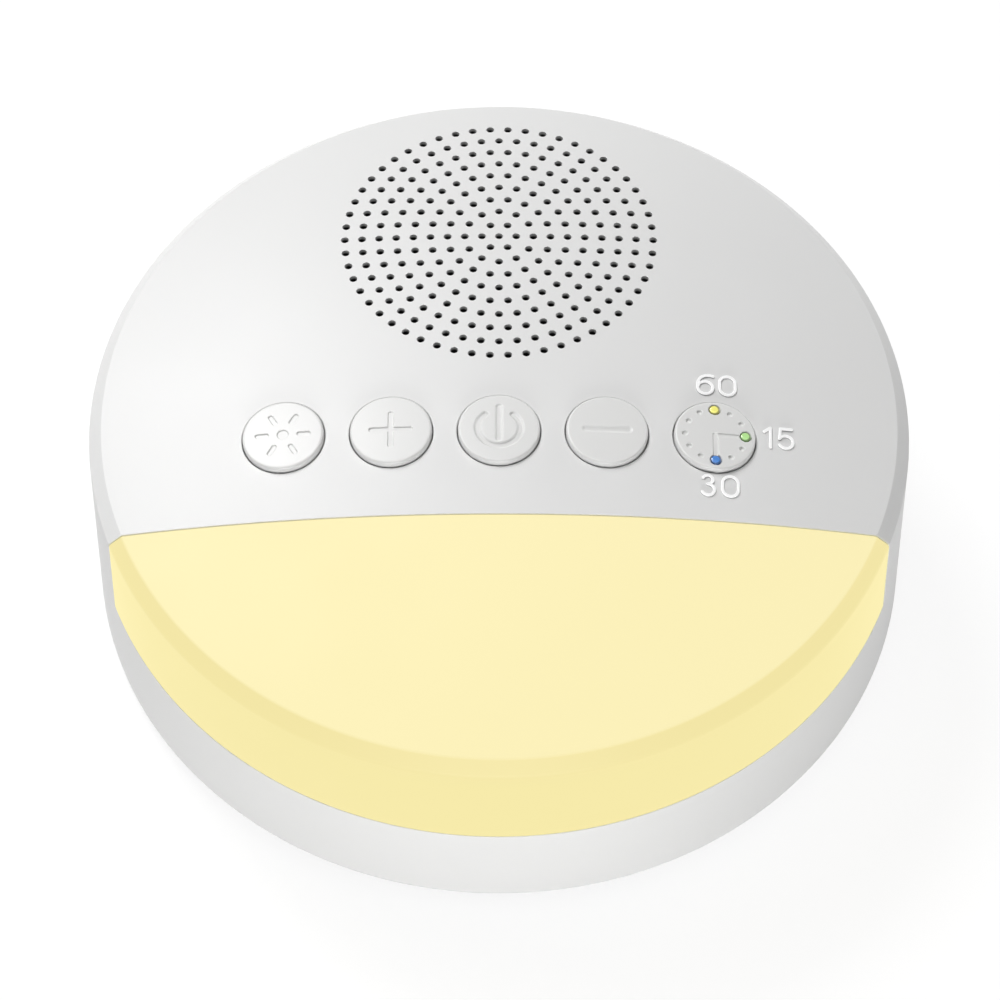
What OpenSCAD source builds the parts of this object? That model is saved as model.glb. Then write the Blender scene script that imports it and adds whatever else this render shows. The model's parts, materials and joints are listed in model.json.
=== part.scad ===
// White noise sound machine: a round, low housing with a domed top, a speaker
// under a drilled grille, five push buttons in a row and a night light whose
// lens wraps over the front of the dome, the rim and the wall.
// Millimetres. +Z is up, z = 0 is the surface it stands on, the origin is on
// the axis of the round housing, and the night light faces -Y.

/* [Housing] */
// Diameter of the round housing
body_d = 104; // [101:0.5:110]
// Height of the housing from its lower edge to the top of the dome
body_h = 36.3; // [35.5:0.1:39]
// Radius of the domed top
dome_r = 230; // [210:5:300]
// Wall thickness of the housing and the lens
wall = 2; // [1.7:0.1:2.3]
// Width of the bevel round the rim, seen from above
rim_w = 1.6; // [1.2:0.1:2]
// Drop of the bevel round the rim
rim_h = 2; // [1.4:0.1:2.4]
// Rounding of the housing's lower edge
lower_edge_r = 1.5; // [0.6:0.1:1.5]
// Radius of the screw bosses that join the housing to its cover
boss_r = 3.2; // [2.8:0.1:3.6]

/* [Base] */
// Thickness of the base cover
cover_t = 2; // [1.6:0.1:2.4]
// How far the base cover is set back from the housing's lower edge
cover_recess = 0.4; // [0.2:0.1:0.8]
// Diameter of a rubber foot
foot_d = 10; // [8:0.5:12]
// How far the feet stand out below the housing's lower edge
foot_proud = 1; // [0.6:0.1:2]
// Depth of the recess that each foot is glued into
foot_recess = 0.6; // [0.4:0.1:0.9]

/* [Night light] */
// Distance from the middle of the housing to the lens's straight edge
lens_y = 17.7; // [17:0.1:19]
// Height of the housing wall left standing below the lens
lens_sill_h = 14.8; // [14:0.1:17]
// Seam between the lens and the housing
lens_gap = 0.12; // [0.08:0.01:0.2]
// Width of the lens's inner flange behind the housing
lens_lap = 2; // [1.5:0.1:2.2]
// Thickness of the lens's inner flange
lens_lap_t = 1; // [0.8:0.1:1.2]
// Number of LEDs on the light board
light_led_count = 9; // [5:1:11]
// Radius of the arc that the LEDs stand on
light_led_arc_r = 36; // [33:0.5:38]

/* [Grille and speaker] */
// Diameter of the speaker's flange
speaker_d = 45; // [44.6:0.1:45.4]
// Number of rings of holes round the centre hole
grille_rings = 9; // [5:1:9]
// Distance from one ring of holes to the next
grille_pitch = 2.205; // [1.9:0.005:2.22]
// Diameter of a grille hole
grille_hole_d = 1; // [0.8:0.05:1.2]
// Distance that the cone moves each way
cone_travel = 0.5; // [0.3:0.1:0.6]

/* [Buttons] */
// Diameter of a button cap
button_d = 10.3; // [10:0.1:10.6]
// Gap round a button cap in its hole
button_gap = 0.15; // [0.12:0.01:0.25]
// Distance from one button to the next
button_pitch = 13.53; // [13.2:0.05:14]
// Place of the row of buttons, front to back
button_y = -5.5; // [-6:0.1:-5.4]
// How far a cap stands out of the dome
button_proud = 0.7; // [0.5:0.1:1.4]
// Rounding of a cap's upper edge
button_edge_r = 0.4; // [0.2:0.05:0.7]
// Distance that a button is pressed
button_travel = 0.4; // [0.25:0.05:0.5]
// Depth of the sunk symbols on the caps
icon_depth = 0.35; // [0.2:0.05:0.4]
// Radius of the ring of marks on the timer cap
dial_mark_r = 3.85; // [3.6:0.05:3.9]
// Height of the raised numerals
numeral_h = 3.3; // [3:0.1:3.4]
// How far the numerals stand out of the dome
numeral_proud = 0.25; // [0.15:0.05:0.4]

/* [Boards] */
// Thickness of the control board and the power board
board_t = 1.6; // [1.2:0.1:1.8]
// Thickness of the light board
light_board_t = 1.2; // [1:0.1:1.6]
// Side of a tactile switch body
switch_w = 6; // [5.6:0.1:6.2]
// Height of a tactile switch body
switch_body_h = 3.5; // [3.2:0.1:3.7]
// Height of a tactile switch with its plunger
switch_h = 4.3; // [4.2:0.1:4.5]
// Diameter of a wire in the leads
wire_d = 1; // [0.8:0.05:1.1]

/* [Hidden] */

// Overlap that joins two shapes of one solid, and reach of a cutting shape
JOIN = 0.3;
REACH = 60;
SMOOTH = 96;
FINE = 48;
DOME_STEPS = 900;

// Width of an arc's round ends as a share of its stroke
ARC_END = 0.9;

// Housing levels and radii
body_r = body_d / 2;
inner_r = body_r - wall;
base_z = foot_proud;
apex_z = base_z + body_h;
dome_z = apex_z - dome_r;
rim_slant = norm([rim_w, rim_h]);
rim_z = dome_height(body_r - rim_w) - rim_h;
sill_z = base_z + lens_sill_h;

// Base cover, its pillars and the bosses that stand on them
cover_z = base_z + cover_recess;
cover_top = cover_z + cover_t;
cover_fit = 0.15;
cover_lip_h = 2.4;
cover_lip_t = 1.4;
pillar_h = 2;
boss_z = cover_top + pillar_h;
boss_wall_gap = 3.2;
boss_place_r = inner_r - boss_wall_gap - boss_r;
boss_lens_gap = 7.3;
boss_lean = asin((lens_y + boss_lens_gap) / boss_place_r);
back_boss_angles = [boss_lean, 180 - boss_lean];
front_boss_angles = [180 + boss_lean, 360 - boss_lean];
boss_angles = concat(back_boss_angles, front_boss_angles);
rib_t = 1.2;
foot_place_r = inner_r - 10;
foot_angles = [58, 122, 238, 302];

// Screws: radius of the shank, the pilot hole and the clearance hole
screw_r = 1.1;
pilot_r = 1.15;
clear_r = 1.4;
small_screw_r = 0.85;
small_pilot_r = 0.9;
small_clear_r = 1.1;
screw_head_r = 2.3;
screw_head_h = 1.6;
small_head_r = 1.9;
small_head_h = 1.3;
base_screw_l = 7;
small_screw_l = 5;
speaker_screw_l = 3.6;
screw_tip_gap = 0.3;

// Speaker levels, from the seat under the dome downwards
speaker_r = speaker_d / 2;
speaker_wall_gap = 1.5;
grille_y = inner_r - speaker_wall_gap - speaker_r;
seat_min_t = 0.36;
seat_z = under_height(grille_y + speaker_r) - seat_min_t;
seat_w = 1.7;
gasket_t = 0.5;
surround_t = 0.3;
flange_t = 0.8;
flange_w = 2.5;
flange_z = seat_z - gasket_t - surround_t - flange_t;
basket_depth = 8.1;
basket_wall = 0.7;
floor_r = 16;
plate_t = 1.2;
magnet_t = 5;
magnet_r = 15;
magnet_hole_r = 7.5;
yoke_t = 2;
yoke_r = 13.5;
pole_r = 5.7;
coil_gap = 0.3;
coil_t = 0.4;
coil_r = pole_r + coil_gap;
coil_out_r = coil_r + coil_t;
coil_end_gap = 1.2;
coil_z = flange_z - basket_depth - plate_t - magnet_t + coil_end_gap + cone_travel;
cone_t = 0.5;
cone_lip_w = 0.7;
cone_depth = 6.4;
cone_rim_z = flange_z + flange_t;
cone_neck_z = cone_rim_z - cone_depth;
roll_min_r = 0.75;
roll_r = roll_min_r + cone_travel;
roll_place_r = speaker_r - flange_w - roll_r;
cone_r = roll_place_r - roll_r;
ledge_r = 13.4;
ledge_z = flange_z - 6.6;
speaker_screw_gap = 0.2;
speaker_boss_r = 2.4;
speaker_boss_place_r = speaker_r + speaker_screw_gap + speaker_boss_r;
speaker_screw_angles = [25, 155, 205, 335];
washer_r = 3.2;
washer_t = 0.5;
strip_size = [3.2, 8, 0.8];
strip_x = -(speaker_r - flange_w + basket_wall + 0.2 + strip_size[0] / 2);
strip_z = flange_z - strip_size[2];
lug_size = [1, 3, 0.4];
lug_z = strip_z - lug_size[2];

// Button places, from left to right, and the cap's own levels
button_x = [for (i = [-2:2]) i * button_pitch];
button_r = button_d / 2;
cap_roof_t = 1.3;
cap_flange_t = 0.8;
cap_flange_w = 1.05;
cap_flange_gap = 0.12;
cap_skirt_t = 0.65;
cap_crown_r = 60;
cap_bottom = -(wall + cap_flange_gap + cap_flange_t);
stem_r = 1.4;
icon_w = 0.6;
mark_r = 0.3;
indicator_r = 0.62;
indicator_fit = 0.02;
indicator_sunk = 0.05;
indicator_end_gap = 0.8;

// Control board under the buttons
board_drop = 10.3;
board_top = apex_z - board_drop;
board_z = board_top - board_t;
board_lens_gap = 0.5;
board_speaker_gap = 0.7;
board_y0 = -(lens_y - lens_lap - board_lens_gap);
board_y1 = grille_y - speaker_r - board_speaker_gap;
board_end = 11.9;
board_x = 2 * button_pitch + board_end;
board_screw_places = [
  for (side = [-1, 1]) [side * (2 * button_pitch + 8.9), button_y],
  for (side = [-1, 1]) [side * button_pitch / 2, button_y - 7.1]
];
board_boss_r = 2.2;
indicator_z = board_top + switch_body_h + button_travel + indicator_end_gap;
plunger_r = 1.7;
plunger_fit = 0.1;
plunger_l = 2.1;
chip_t = 1.5;
chip_l = 4;
chip_y = button_y + 2;
processor_w = 10;
small_chip_w = 5;
chip_x = [-14, -3, 6];
capacitor_r = 2.5;
capacitor_h = 6;
capacitor_x = [12.5, 18.5];
resistor_size = [1.6, 0.8, 0.5];
resistor_pitch = 3;
resistor_count = 8;
resistor_x0 = -20;
resistor_y = button_y - 3.8;
socket_size = [6, 4.5, 5];
socket_places = [
  [-2 * button_pitch, button_y + 2.7],
  [2 * button_pitch, button_y + 2.7],
  [18, button_y - 5]
];
wire_gap = 1.6;

// Power board at the back, standing on posts of the base cover
power_post_h = 2.6;
power_board_z = cover_top + power_post_h;
power_board_w = 18;
power_board_l = 10;
power_board_y1 = inner_r - 1.4;
power_board_y0 = power_board_y1 - power_board_l;
power_post_r = 2;
power_post_x = 6.6;
power_post_y = power_board_y0 + 2.1;
power_screw_l = 4;

// Power socket: shell, its cavity and the contact tongue
socket_w = 8.94;
socket_h = 3.26;
socket_l = 7.3;
socket_cavity_w = 8.34;
socket_cavity_h = 2.56;
socket_cavity_l = 6.2;
socket_set_back = 0.75;
socket_mouth_y = body_r - socket_set_back;
socket_axis_z = power_board_z + board_t + socket_h / 2;
socket_fit = 0.18;
socket_face_w = 13.4;
socket_face_h = 7.4;
tongue_w = 6.69;
tongue_t = 0.7;
tongue_l = 4.45;

// Night light: tray, board and LEDs
tray_t = 1.2;
tray_z = sill_z - 2.8;
tray_r = inner_r - lens_lap_t - 2.4;
tray_lip_t = 1;
tray_back_y = -(lens_y + 1.6);
tray_clear = 0.25;
light_board_z = tray_z + tray_t;
light_board_top = light_board_z + light_board_t;
light_board_gap = 0.5;
light_board_y = tray_back_y - tray_t - light_board_gap;
light_screw_l = 4;
led_span = 96;
led_size = [3.5, 2.8, 0.8];
notch_x = socket_places[2][0];
notch_w = 4.4;
notch_h = 3.4;

// Colours
WHITE = "#f2f2f0";
CAP_WHITE = "#ececea";
LENS = "#fff0b8";
DARK = "#202022";
STEEL = "#b8bcc0";
BOARD_GREEN = "#1f6b45";

// Height of the dome's outer and inner surface at a distance from the axis
function dome_height(r) = dome_z + sqrt(dome_r * dome_r - r * r);
function under_height(r) = dome_z + sqrt((dome_r - wall) * (dome_r - wall) - r * r);
function polar(r, a) = [r * cos(a), r * sin(a)];

// Section of the housing's outside, or of the same form set in by an inset
module body_section(inset) {
  edge_r = body_r - inset;
  bevel_z = rim_z - inset * (rim_slant - rim_h) / rim_w;
  top_z = apex_z + 1;
  intersection() {
    translate([0, dome_z]) circle(r = dome_r - inset, $fn = DOME_STEPS);
    polygon([
      [0, base_z],
      [edge_r, base_z],
      [edge_r, bevel_z],
      [edge_r - (top_z - bevel_z) * rim_w / rim_h, top_z],
      [0, top_z]
    ]);
  }
}

module lower_edge_cut() {
  translate([body_r - lower_edge_r, base_z]) difference() {
    translate([0, -1]) square([lower_edge_r + 1, lower_edge_r + 1]);
    translate([0, lower_edge_r]) circle(r = lower_edge_r, $fn = FINE);
  }
}

// The thin round form between two insets, open below
module shell(inset_out, inset_in) {
  rotate_extrude($fn = 2 * SMOOTH) difference() {
    body_section(inset_out);
    body_section(inset_in);
    translate([0, base_z - 1]) square([body_r - inset_in, 2]);
    if (inset_out == 0) lower_edge_cut();
  }
}

// Everything inside the housing at least an inset away from its outside
module inside(inset) {
  rotate_extrude($fn = 2 * SMOOTH) body_section(inset);
}

// The block of space in front of a plane and above a level
module front_block(y, z) {
  translate([-REACH, -REACH - y, z]) cube([2 * REACH, REACH, REACH]);
}

// Sets its children on the dome with +Z along the dome's normal there
module on_dome(x, y) {
  lean = asin(norm([x, y]) / dome_r);
  turn = atan2(y, x);
  translate([0, 0, dome_z])
    rotate([0, 0, turn])
      rotate([0, lean, 0])
        translate([0, 0, dome_r])
          rotate([0, 0, -turn])
            children();
}

module rod(r, h) {
  cylinder(r = r, h = h, $fn = FINE);
}

module at_polar(r, angles) {
  for (a = angles) translate(polar(r, a)) children();
}

// Pan-head screw with a cross recess, its shank pointing up from z = 0
module screw(head_r, head_h, shank_r, shank_l) {
  slot = [head_r * 1.2, head_r * 0.3, head_h];
  difference() {
    translate([0, 0, -head_h]) rod(head_r, head_h);
    for (a = [0, 90])
      rotate([0, 0, a])
        translate([-slot[0] / 2, -slot[1] / 2, -head_h - slot[2] / 2])
          cube(slot);
  }
  translate([0, 0, -JOIN]) rod(shank_r, shank_l + JOIN);
}

// Flat bar with round ends, drawn from one point to another
module bar(from, to, w) {
  run = to - from;
  for (p = [from, to]) translate(p) circle(d = w, $fn = FINE);
  translate(from)
    rotate(atan2(run[1], run[0]))
      translate([0, -w / 2])
        square([norm(run), w]);
}

// Flat ring, and the part of it from one angle to a larger one, with round ends
module ring(r, w) {
  difference() {
    circle(r = r + w / 2, $fn = FINE);
    circle(r = r - w / 2, $fn = FINE);
  }
}

module wedge(far, from, to) {
  steps = 4;
  polygon([
    [0, 0],
    for (i = [0:steps]) polar(far, from + (to - from) * i / steps)
  ]);
}

module arc(r, w, from, to) {
  far = 4 * r;
  difference() {
    ring(r, w);
    wedge(far, to, from + 360);
  }
  for (a = [from, to]) translate(polar(r, a)) circle(d = ARC_END * w, $fn = FINE);
}

// Digits are drawn centred, from round bows and straight bars
module digit_zero(h, w) {
  bow_r = h * 0.3;
  side = h / 2 - w / 2 - bow_r;
  for (s = [-1, 1]) {
    translate([0, s * side]) arc(bow_r, w, s * 90 - 90, s * 90 + 90);
    bar([s * bow_r, -side], [s * bow_r, side], w);
  }
}

module digit_one(h, w) {
  top = h / 2 - w / 2;
  stem_x = h * 0.27;
  bar([stem_x, -top], [stem_x, top], w);
  bar([stem_x, top], [stem_x - h * 0.24, top - h * 0.18], w);
}

module digit_three(h, w) {
  top = h / 2 - w / 2;
  low_r = top * 0.56;
  high_r = top - low_r;
  translate([0, top - high_r]) arc(high_r, w, -90, 155);
  translate([0, low_r - top]) arc(low_r, w, -155, 90);
}

module digit_five(h, w) {
  bow_r = h * 0.28;
  top = h / 2 - w / 2;
  bow_y = bow_r - top;
  bar([-h * 0.2, top], [h * 0.24, top], w);
  bar([-h * 0.2, top], [-h * 0.24, bow_y + bow_r * 0.5], w);
  translate([0, bow_y]) arc(bow_r, w, -150, 150);
}

module digit_six(h, w) {
  bow_r = h * 0.29;
  top = h / 2 - w / 2;
  sweep_r = h * 0.42;
  translate([0, bow_r - top]) ring(bow_r, w);
  translate([sweep_r - bow_r, top - sweep_r]) arc(sweep_r, w, 65, 180);
  bar([-bow_r, bow_r - top], [-bow_r, top - sweep_r], w);
}

// Raised numerals beside the timer button
module numerals() {
  h = numeral_h;
  w = h * 0.14;
  step = h * 0.43;
  timer_x = button_x[4];
  lift = numeral_proud + JOIN;
  places = [[0.2, 8.05], [7.5, 0.6], [0.4, -7.05]];
  for (i = [0:2])
    on_dome(timer_x + places[i][0], button_y + places[i][1])
      translate([0, 0, -JOIN])
        linear_extrude(lift) {
          translate([-step, 0]) {
            if (i == 0) digit_six(h, w);
            if (i == 1) digit_one(h, w);
            if (i == 2) digit_three(h, w);
          }
          translate([step, 0]) {
            if (i == 1) digit_five(h, w);
            if (i != 1) digit_zero(h, w);
          }
        }
}

// Flat form of the power socket with round ends, standing on the Y axis
module socket_form(w, h, y, l) {
  side = w / 2 - h / 2;
  translate([0, y + l, socket_axis_z])
    rotate([90, 0, 0])
      linear_extrude(l) {
        square([2 * side, h], center = true);
        for (s = [-side, side]) translate([s, 0]) circle(d = h, $fn = FINE);
      }
}

module grille_holes() {
  depth = apex_z - under_height(grille_y + speaker_r) + 2;
  translate([0, grille_y, apex_z - depth])
    linear_extrude(depth + 1) {
      circle(d = grille_hole_d, $fn = 24);
      for (k = [1:grille_rings], i = [0:6 * k - 1])
        translate(polar(k * grille_pitch, i * 60 / k))
          circle(d = grille_hole_d, $fn = 24);
    }
}

// Bosses, ribs and the speaker's seat, cut off by the housing's inner surface
module housing_inside() {
  rib_z = cover_top + cover_lip_h + 0.4;
  intersection() {
    union() {
      at_polar(boss_place_r, back_boss_angles)
        translate([0, 0, boss_z]) rod(boss_r, REACH);
      at_polar(boss_place_r, front_boss_angles)
        translate([0, 0, boss_z]) rod(boss_r, tray_z - boss_z);
      for (a = boss_angles)
        rotate([0, 0, a])
          translate([boss_place_r, -rib_t / 2, rib_z])
            cube([body_r - boss_place_r, rib_t, tray_z - rib_z]);
      translate([0, grille_y, flange_z])
        at_polar(speaker_boss_place_r, speaker_screw_angles)
          rod(speaker_boss_r, REACH);
      for (p = board_screw_places)
        translate([p[0], p[1], board_top]) rod(board_boss_r, REACH);
      translate([0, grille_y, seat_z]) difference() {
        cylinder(r = speaker_r, h = REACH, $fn = SMOOTH);
        translate([0, 0, -1])
          cylinder(r = speaker_r - seat_w, h = REACH + 2, $fn = SMOOTH);
      }
    }
    inside(wall - JOIN);
  }
}

module upper_housing() {
  color(WHITE) difference() {
    union() {
      difference() {
        shell(0, wall);
        front_block(lens_y, sill_z);
      }
      difference() {
        housing_inside();
        front_block(lens_y - lens_lap - lens_gap, tray_z + 0.01);
      }
      numerals();
    }
    grille_holes();
    for (x = button_x)
      on_dome(x, button_y)
        translate([0, 0, -wall - 2]) rod(button_r + button_gap, wall + 4);
    at_polar(boss_place_r, boss_angles)
      translate([0, 0, boss_z - 1]) rod(pilot_r, base_screw_l + 2);
    at_polar(boss_place_r, front_boss_angles)
      translate([0, 0, boss_z - 1]) rod(pilot_r, tray_z - boss_z + 2);
    translate([0, grille_y, flange_z - 1])
      at_polar(speaker_boss_place_r, speaker_screw_angles)
        rod(small_pilot_r, speaker_screw_l - washer_t + screw_tip_gap + 1);
    for (p = board_screw_places)
      translate([p[0], p[1], board_top - 1]) rod(small_pilot_r, small_screw_l);
    socket_form(socket_w + 2 * socket_fit, socket_h + 2 * socket_fit, inner_r - 2, REACH);
    socket_form(socket_face_w, socket_face_h, socket_mouth_y, REACH);
  }
}

module light_lens() {
  seam = lens_y + lens_gap;
  color(LENS) {
    intersection() {
      shell(0, wall);
      front_block(seam, sill_z + lens_gap);
    }
    difference() {
      intersection() {
        shell(wall, wall + lens_lap_t);
        front_block(lens_y - lens_lap, sill_z - lens_lap);
      }
      front_block(lens_y + lens_lap, sill_z + lens_lap);
    }
  }
}

module base_cover() {
  cover_r = inner_r - cover_fit;
  lip_r = cover_r - cover_lip_t;
  color(WHITE) difference() {
    union() {
      translate([0, 0, cover_z])
        cylinder(r = cover_r, h = cover_t + cover_lip_h, $fn = 2 * SMOOTH);
    }
    translate([0, 0, cover_top])
      difference() {
        cylinder(r = lip_r, h = cover_lip_h + 1, $fn = 2 * SMOOTH);
        at_polar(boss_place_r, boss_angles)
          translate([0, 0, -1]) rod(boss_r, pillar_h + 1);
        for (s = [-1, 1])
          translate([s * power_post_x, power_post_y, -1])
            rod(power_post_r, power_post_h + 1);
      }
    at_polar(boss_place_r, boss_angles) {
      translate([0, 0, cover_z - 1]) rod(clear_r, REACH);
      translate([0, 0, cover_z - 1]) rod(screw_head_r + 0.3, cover_t + 1.2);
    }
    at_polar(foot_place_r, foot_angles)
      translate([0, 0, cover_z - 1]) rod(foot_d / 2 + 0.1, foot_recess + 1);
    for (s = [-1, 1])
      translate([s * power_post_x, power_post_y, cover_z + 0.8])
        rod(small_pilot_r, REACH);
  }
}

module rubber_feet() {
  foot_h = cover_z + foot_recess;
  foot_r = foot_d / 2;
  edge = 0.4;
  color(DARK)
    at_polar(foot_place_r, foot_angles)
      rotate_extrude($fn = FINE)
        difference() {
          polygon([
            [0, 0],
            [foot_r - edge, 0],
            [foot_r, edge],
            [foot_r, foot_h],
            [0, foot_h]
          ]);
          translate([0, -1]) square([foot_r * 0.6, 1.3]);
        }
}

module base_screws() {
  color(STEEL)
    at_polar(boss_place_r, boss_angles)
      translate([0, 0, cover_z + cover_t + 0.2])
        screw(screw_head_r, screw_head_h, screw_r, base_screw_l);
}

module grille_cloth() {
  cloth_t = 0.35;
  color(DARK)
    intersection() {
      shell(wall, wall + cloth_t);
      translate([0, grille_y, 0])
        cylinder(r = speaker_r - seat_w - 0.1, h = REACH, $fn = SMOOTH);
    }
}

module speaker_ring(r_out, r_in, z, h) {
  translate([0, grille_y, z])
    rotate_extrude($fn = SMOOTH)
      translate([r_in, 0]) square([r_out - r_in, h]);
}

module speaker_section() {
  translate([0, grille_y, 0]) rotate_extrude($fn = SMOOTH) children();
}

module speaker_gasket() {
  color(DARK) speaker_ring(speaker_r, speaker_r - seat_w, seat_z - gasket_t, gasket_t);
}

module speaker_basket() {
  flange_in = speaker_r - flange_w;
  floor_z = flange_z - basket_depth;
  window = [speaker_r, 11, 4.2];
  color(STEEL) {
    difference() {
      speaker_section()
        polygon([
          [flange_in, flange_z + flange_t],
          [speaker_r, flange_z + flange_t],
          [speaker_r, flange_z],
          [flange_in + basket_wall, flange_z],
          [floor_r + basket_wall, floor_z],
          [coil_out_r + coil_gap, floor_z],
          [coil_out_r + coil_gap, floor_z + basket_wall],
          [ledge_r - 0.8, floor_z + basket_wall],
          [ledge_r - 0.8, ledge_z],
          [ledge_r, ledge_z],
          [ledge_r, floor_z + basket_wall],
          [floor_r, floor_z + basket_wall],
          [flange_in, flange_z]
        ]);
      translate([0, grille_y, floor_z + 2])
        for (a = [45:90:315])
          rotate([0, 0, a])
            translate([floor_r - 0.5, -window[1] / 2, 0]) cube(window);
    }
  }
}

module speaker_top_plate() {
  plate_z = flange_z - basket_depth - plate_t;
  color(STEEL) speaker_ring(magnet_r - 1, coil_out_r + coil_gap, plate_z, plate_t);
}

module speaker_magnet() {
  color(DARK)
    speaker_ring(magnet_r, magnet_hole_r, flange_z - basket_depth - plate_t - magnet_t, magnet_t);
}

module speaker_yoke() {
  top_z = flange_z - basket_depth;
  plate_z = top_z - plate_t - magnet_t - yoke_t;
  color(STEEL)
    speaker_section()
      polygon([
        [0, plate_z],
        [yoke_r, plate_z],
        [yoke_r, plate_z + yoke_t],
        [pole_r, plate_z + yoke_t],
        [pole_r, top_z],
        [0, top_z]
      ]);
}

module speaker_surround() {
  lip_z = cone_rim_z;
  color(DARK)
    speaker_section() {
      intersection() {
        translate([roll_place_r, lip_z])
          difference() {
            circle(r = roll_r, $fn = FINE);
            circle(r = roll_r - surround_t, $fn = FINE);
          }
        translate([0, lip_z]) square([speaker_r, 2 * roll_r]);
      }
      translate([cone_r - cone_lip_w, lip_z])
        square([cone_lip_w + surround_t / 2, surround_t]);
      translate([roll_place_r + roll_r - surround_t / 2, lip_z])
        square([speaker_r - roll_place_r - roll_r, surround_t]);
    }
}

// Corrugated disc that centres the voice coil
module speaker_spider() {
  t = 0.3;
  wave = 0.45;
  waves = 6;
  r_in = coil_out_r + 0.05;
  step = (ledge_r - r_in) / waves;
  lower = [for (i = [0:waves]) [r_in + i * step, ledge_z + (i % 2) * wave]];
  upper = [for (i = [waves:-1:0]) [r_in + i * step, ledge_z + t + (i % 2) * wave]];
  color("#c9a646") speaker_section() polygon(concat(lower, upper));
}

module speaker_cone() {
  color(DARK)
    speaker_section()
      polygon([
        [coil_out_r, cone_neck_z - cone_t],
        [coil_out_r + cone_t, cone_neck_z - cone_t],
        [cone_r, cone_rim_z - cone_t],
        [cone_r, cone_rim_z],
        [cone_r - cone_lip_w, cone_rim_z],
        [coil_out_r, cone_neck_z + cone_t / 2]
      ]);
}

module voice_coil() {
  color("#a8612c") speaker_ring(coil_out_r, coil_r, coil_z, cone_neck_z - coil_z);
}

module dust_cap() {
  cap_r = 7;
  ball_r = 9;
  slope = (cone_depth - cone_t / 2) / (cone_r - cone_lip_w - coil_out_r);
  seat = cone_neck_z + cone_t / 2 + (cap_r - coil_out_r) * slope + 0.05;
  color(DARK)
    speaker_section()
      intersection() {
        translate([0, seat - sqrt(ball_r * ball_r - cap_r * cap_r)])
          difference() {
            circle(r = ball_r, $fn = 2 * SMOOTH);
            circle(r = ball_r - 0.4, $fn = 2 * SMOOTH);
          }
        translate([0, seat]) square([cap_r, ball_r]);
      }
}

module speaker_terminal_strip() {
  color("#7a4a22")
    translate([strip_x - strip_size[0] / 2, grille_y - strip_size[1] / 2, strip_z])
      cube(strip_size);
}

module speaker_lugs() {
  color("#c9a646")
    for (s = [-1, 1])
      translate([strip_x + s * wire_gap / 2 - lug_size[0] / 2, grille_y - lug_size[1] / 2, lug_z])
        cube(lug_size);
}

module speaker_screws() {
  color(STEEL)
    translate([0, grille_y, flange_z])
      at_polar(speaker_boss_place_r, speaker_screw_angles) {
        difference() {
          translate([0, 0, -washer_t]) rod(washer_r, washer_t);
          translate([0, 0, -1]) rod(small_screw_r, 2);
        }
        translate([0, 0, -washer_t])
          screw(small_head_r, small_head_h, small_screw_r, speaker_screw_l);
      }
}

module control_board() {
  color(BOARD_GREEN)
    difference() {
      translate([-board_x, board_y0, board_z])
        cube([2 * board_x, board_y1 - board_y0, board_t]);
      for (p = board_screw_places)
        translate([p[0], p[1], board_z - 1]) rod(small_clear_r, board_t + 2);
    }
}

module control_board_screws() {
  color(STEEL)
    for (p = board_screw_places)
      translate([p[0], p[1], board_z])
        screw(small_head_r, small_head_h, small_screw_r, small_screw_l);
}

module switch_bodies() {
  leg = [1, 1.2, 0.3];
  reach = switch_w / 2 + leg[0] / 2;
  color(DARK)
    for (x = button_x)
      translate([x, button_y, board_top]) {
        difference() {
          translate([-switch_w / 2, -switch_w / 2, 0])
            cube([switch_w, switch_w, switch_body_h]);
          translate([0, 0, 1.4]) rod(plunger_r + plunger_fit, switch_body_h);
        }
        for (sx = [-1, 1], sy = [-1, 1])
          translate([sx * reach - leg[0] / 2 - sx * 0.1, sy * 2 - leg[1] / 2, 0])
            cube(leg);
      }
}

module switch_plunger(i) {
  color("#d8d8d4")
    translate([button_x[i], button_y, board_top + switch_h - plunger_l])
      rod(plunger_r, plunger_l);
}

module light_switch_plunger() { switch_plunger(0); }
module plus_switch_plunger() { switch_plunger(1); }
module power_switch_plunger() { switch_plunger(2); }
module minus_switch_plunger() { switch_plunger(3); }
module timer_switch_plunger() { switch_plunger(4); }

module timer_leds() {
  led = [1.6, 1, 0.6];
  color("#f4efcf")
    for (a = [90, 0, 270])
      translate([button_x[4], button_y, board_top])
        translate(polar(dial_mark_r, a))
          translate([-led[0] / 2, -led[1] / 2, 0])
            cube(led);
}

// A chip under the control board, with its row of legs on each long side
module chip(x, w, legs) {
  pitch = 1.27;
  leg = [0.4, 1, 0.25];
  leg_y = chip_l / 2 + 0.4;
  color(DARK)
    translate([x, chip_y, board_z]) {
      translate([-w / 2, -chip_l / 2, -chip_t]) cube([w, chip_l, chip_t]);
      for (i = [0:legs - 1], s = [-1, 1])
        translate([(i - (legs - 1) / 2) * pitch - leg[0] / 2, s * leg_y - leg[1] / 2, -leg[2]])
          cube(leg);
    }
}

module sound_processor() { chip(chip_x[0], processor_w, 8); }
module sound_memory() { chip(chip_x[1], small_chip_w, 4); }
module amplifier() { chip(chip_x[2], small_chip_w, 4); }

module capacitors() {
  color("#26305c")
    for (x = capacitor_x)
      translate([x, button_y + capacitor_r, board_z - capacitor_h])
        rod(capacitor_r, capacitor_h);
}

module resistors() {
  color("#333333")
    for (i = [0:resistor_count - 1])
      translate([resistor_x0 + i * resistor_pitch, resistor_y, board_z - resistor_size[2]])
        cube(resistor_size);
}

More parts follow.
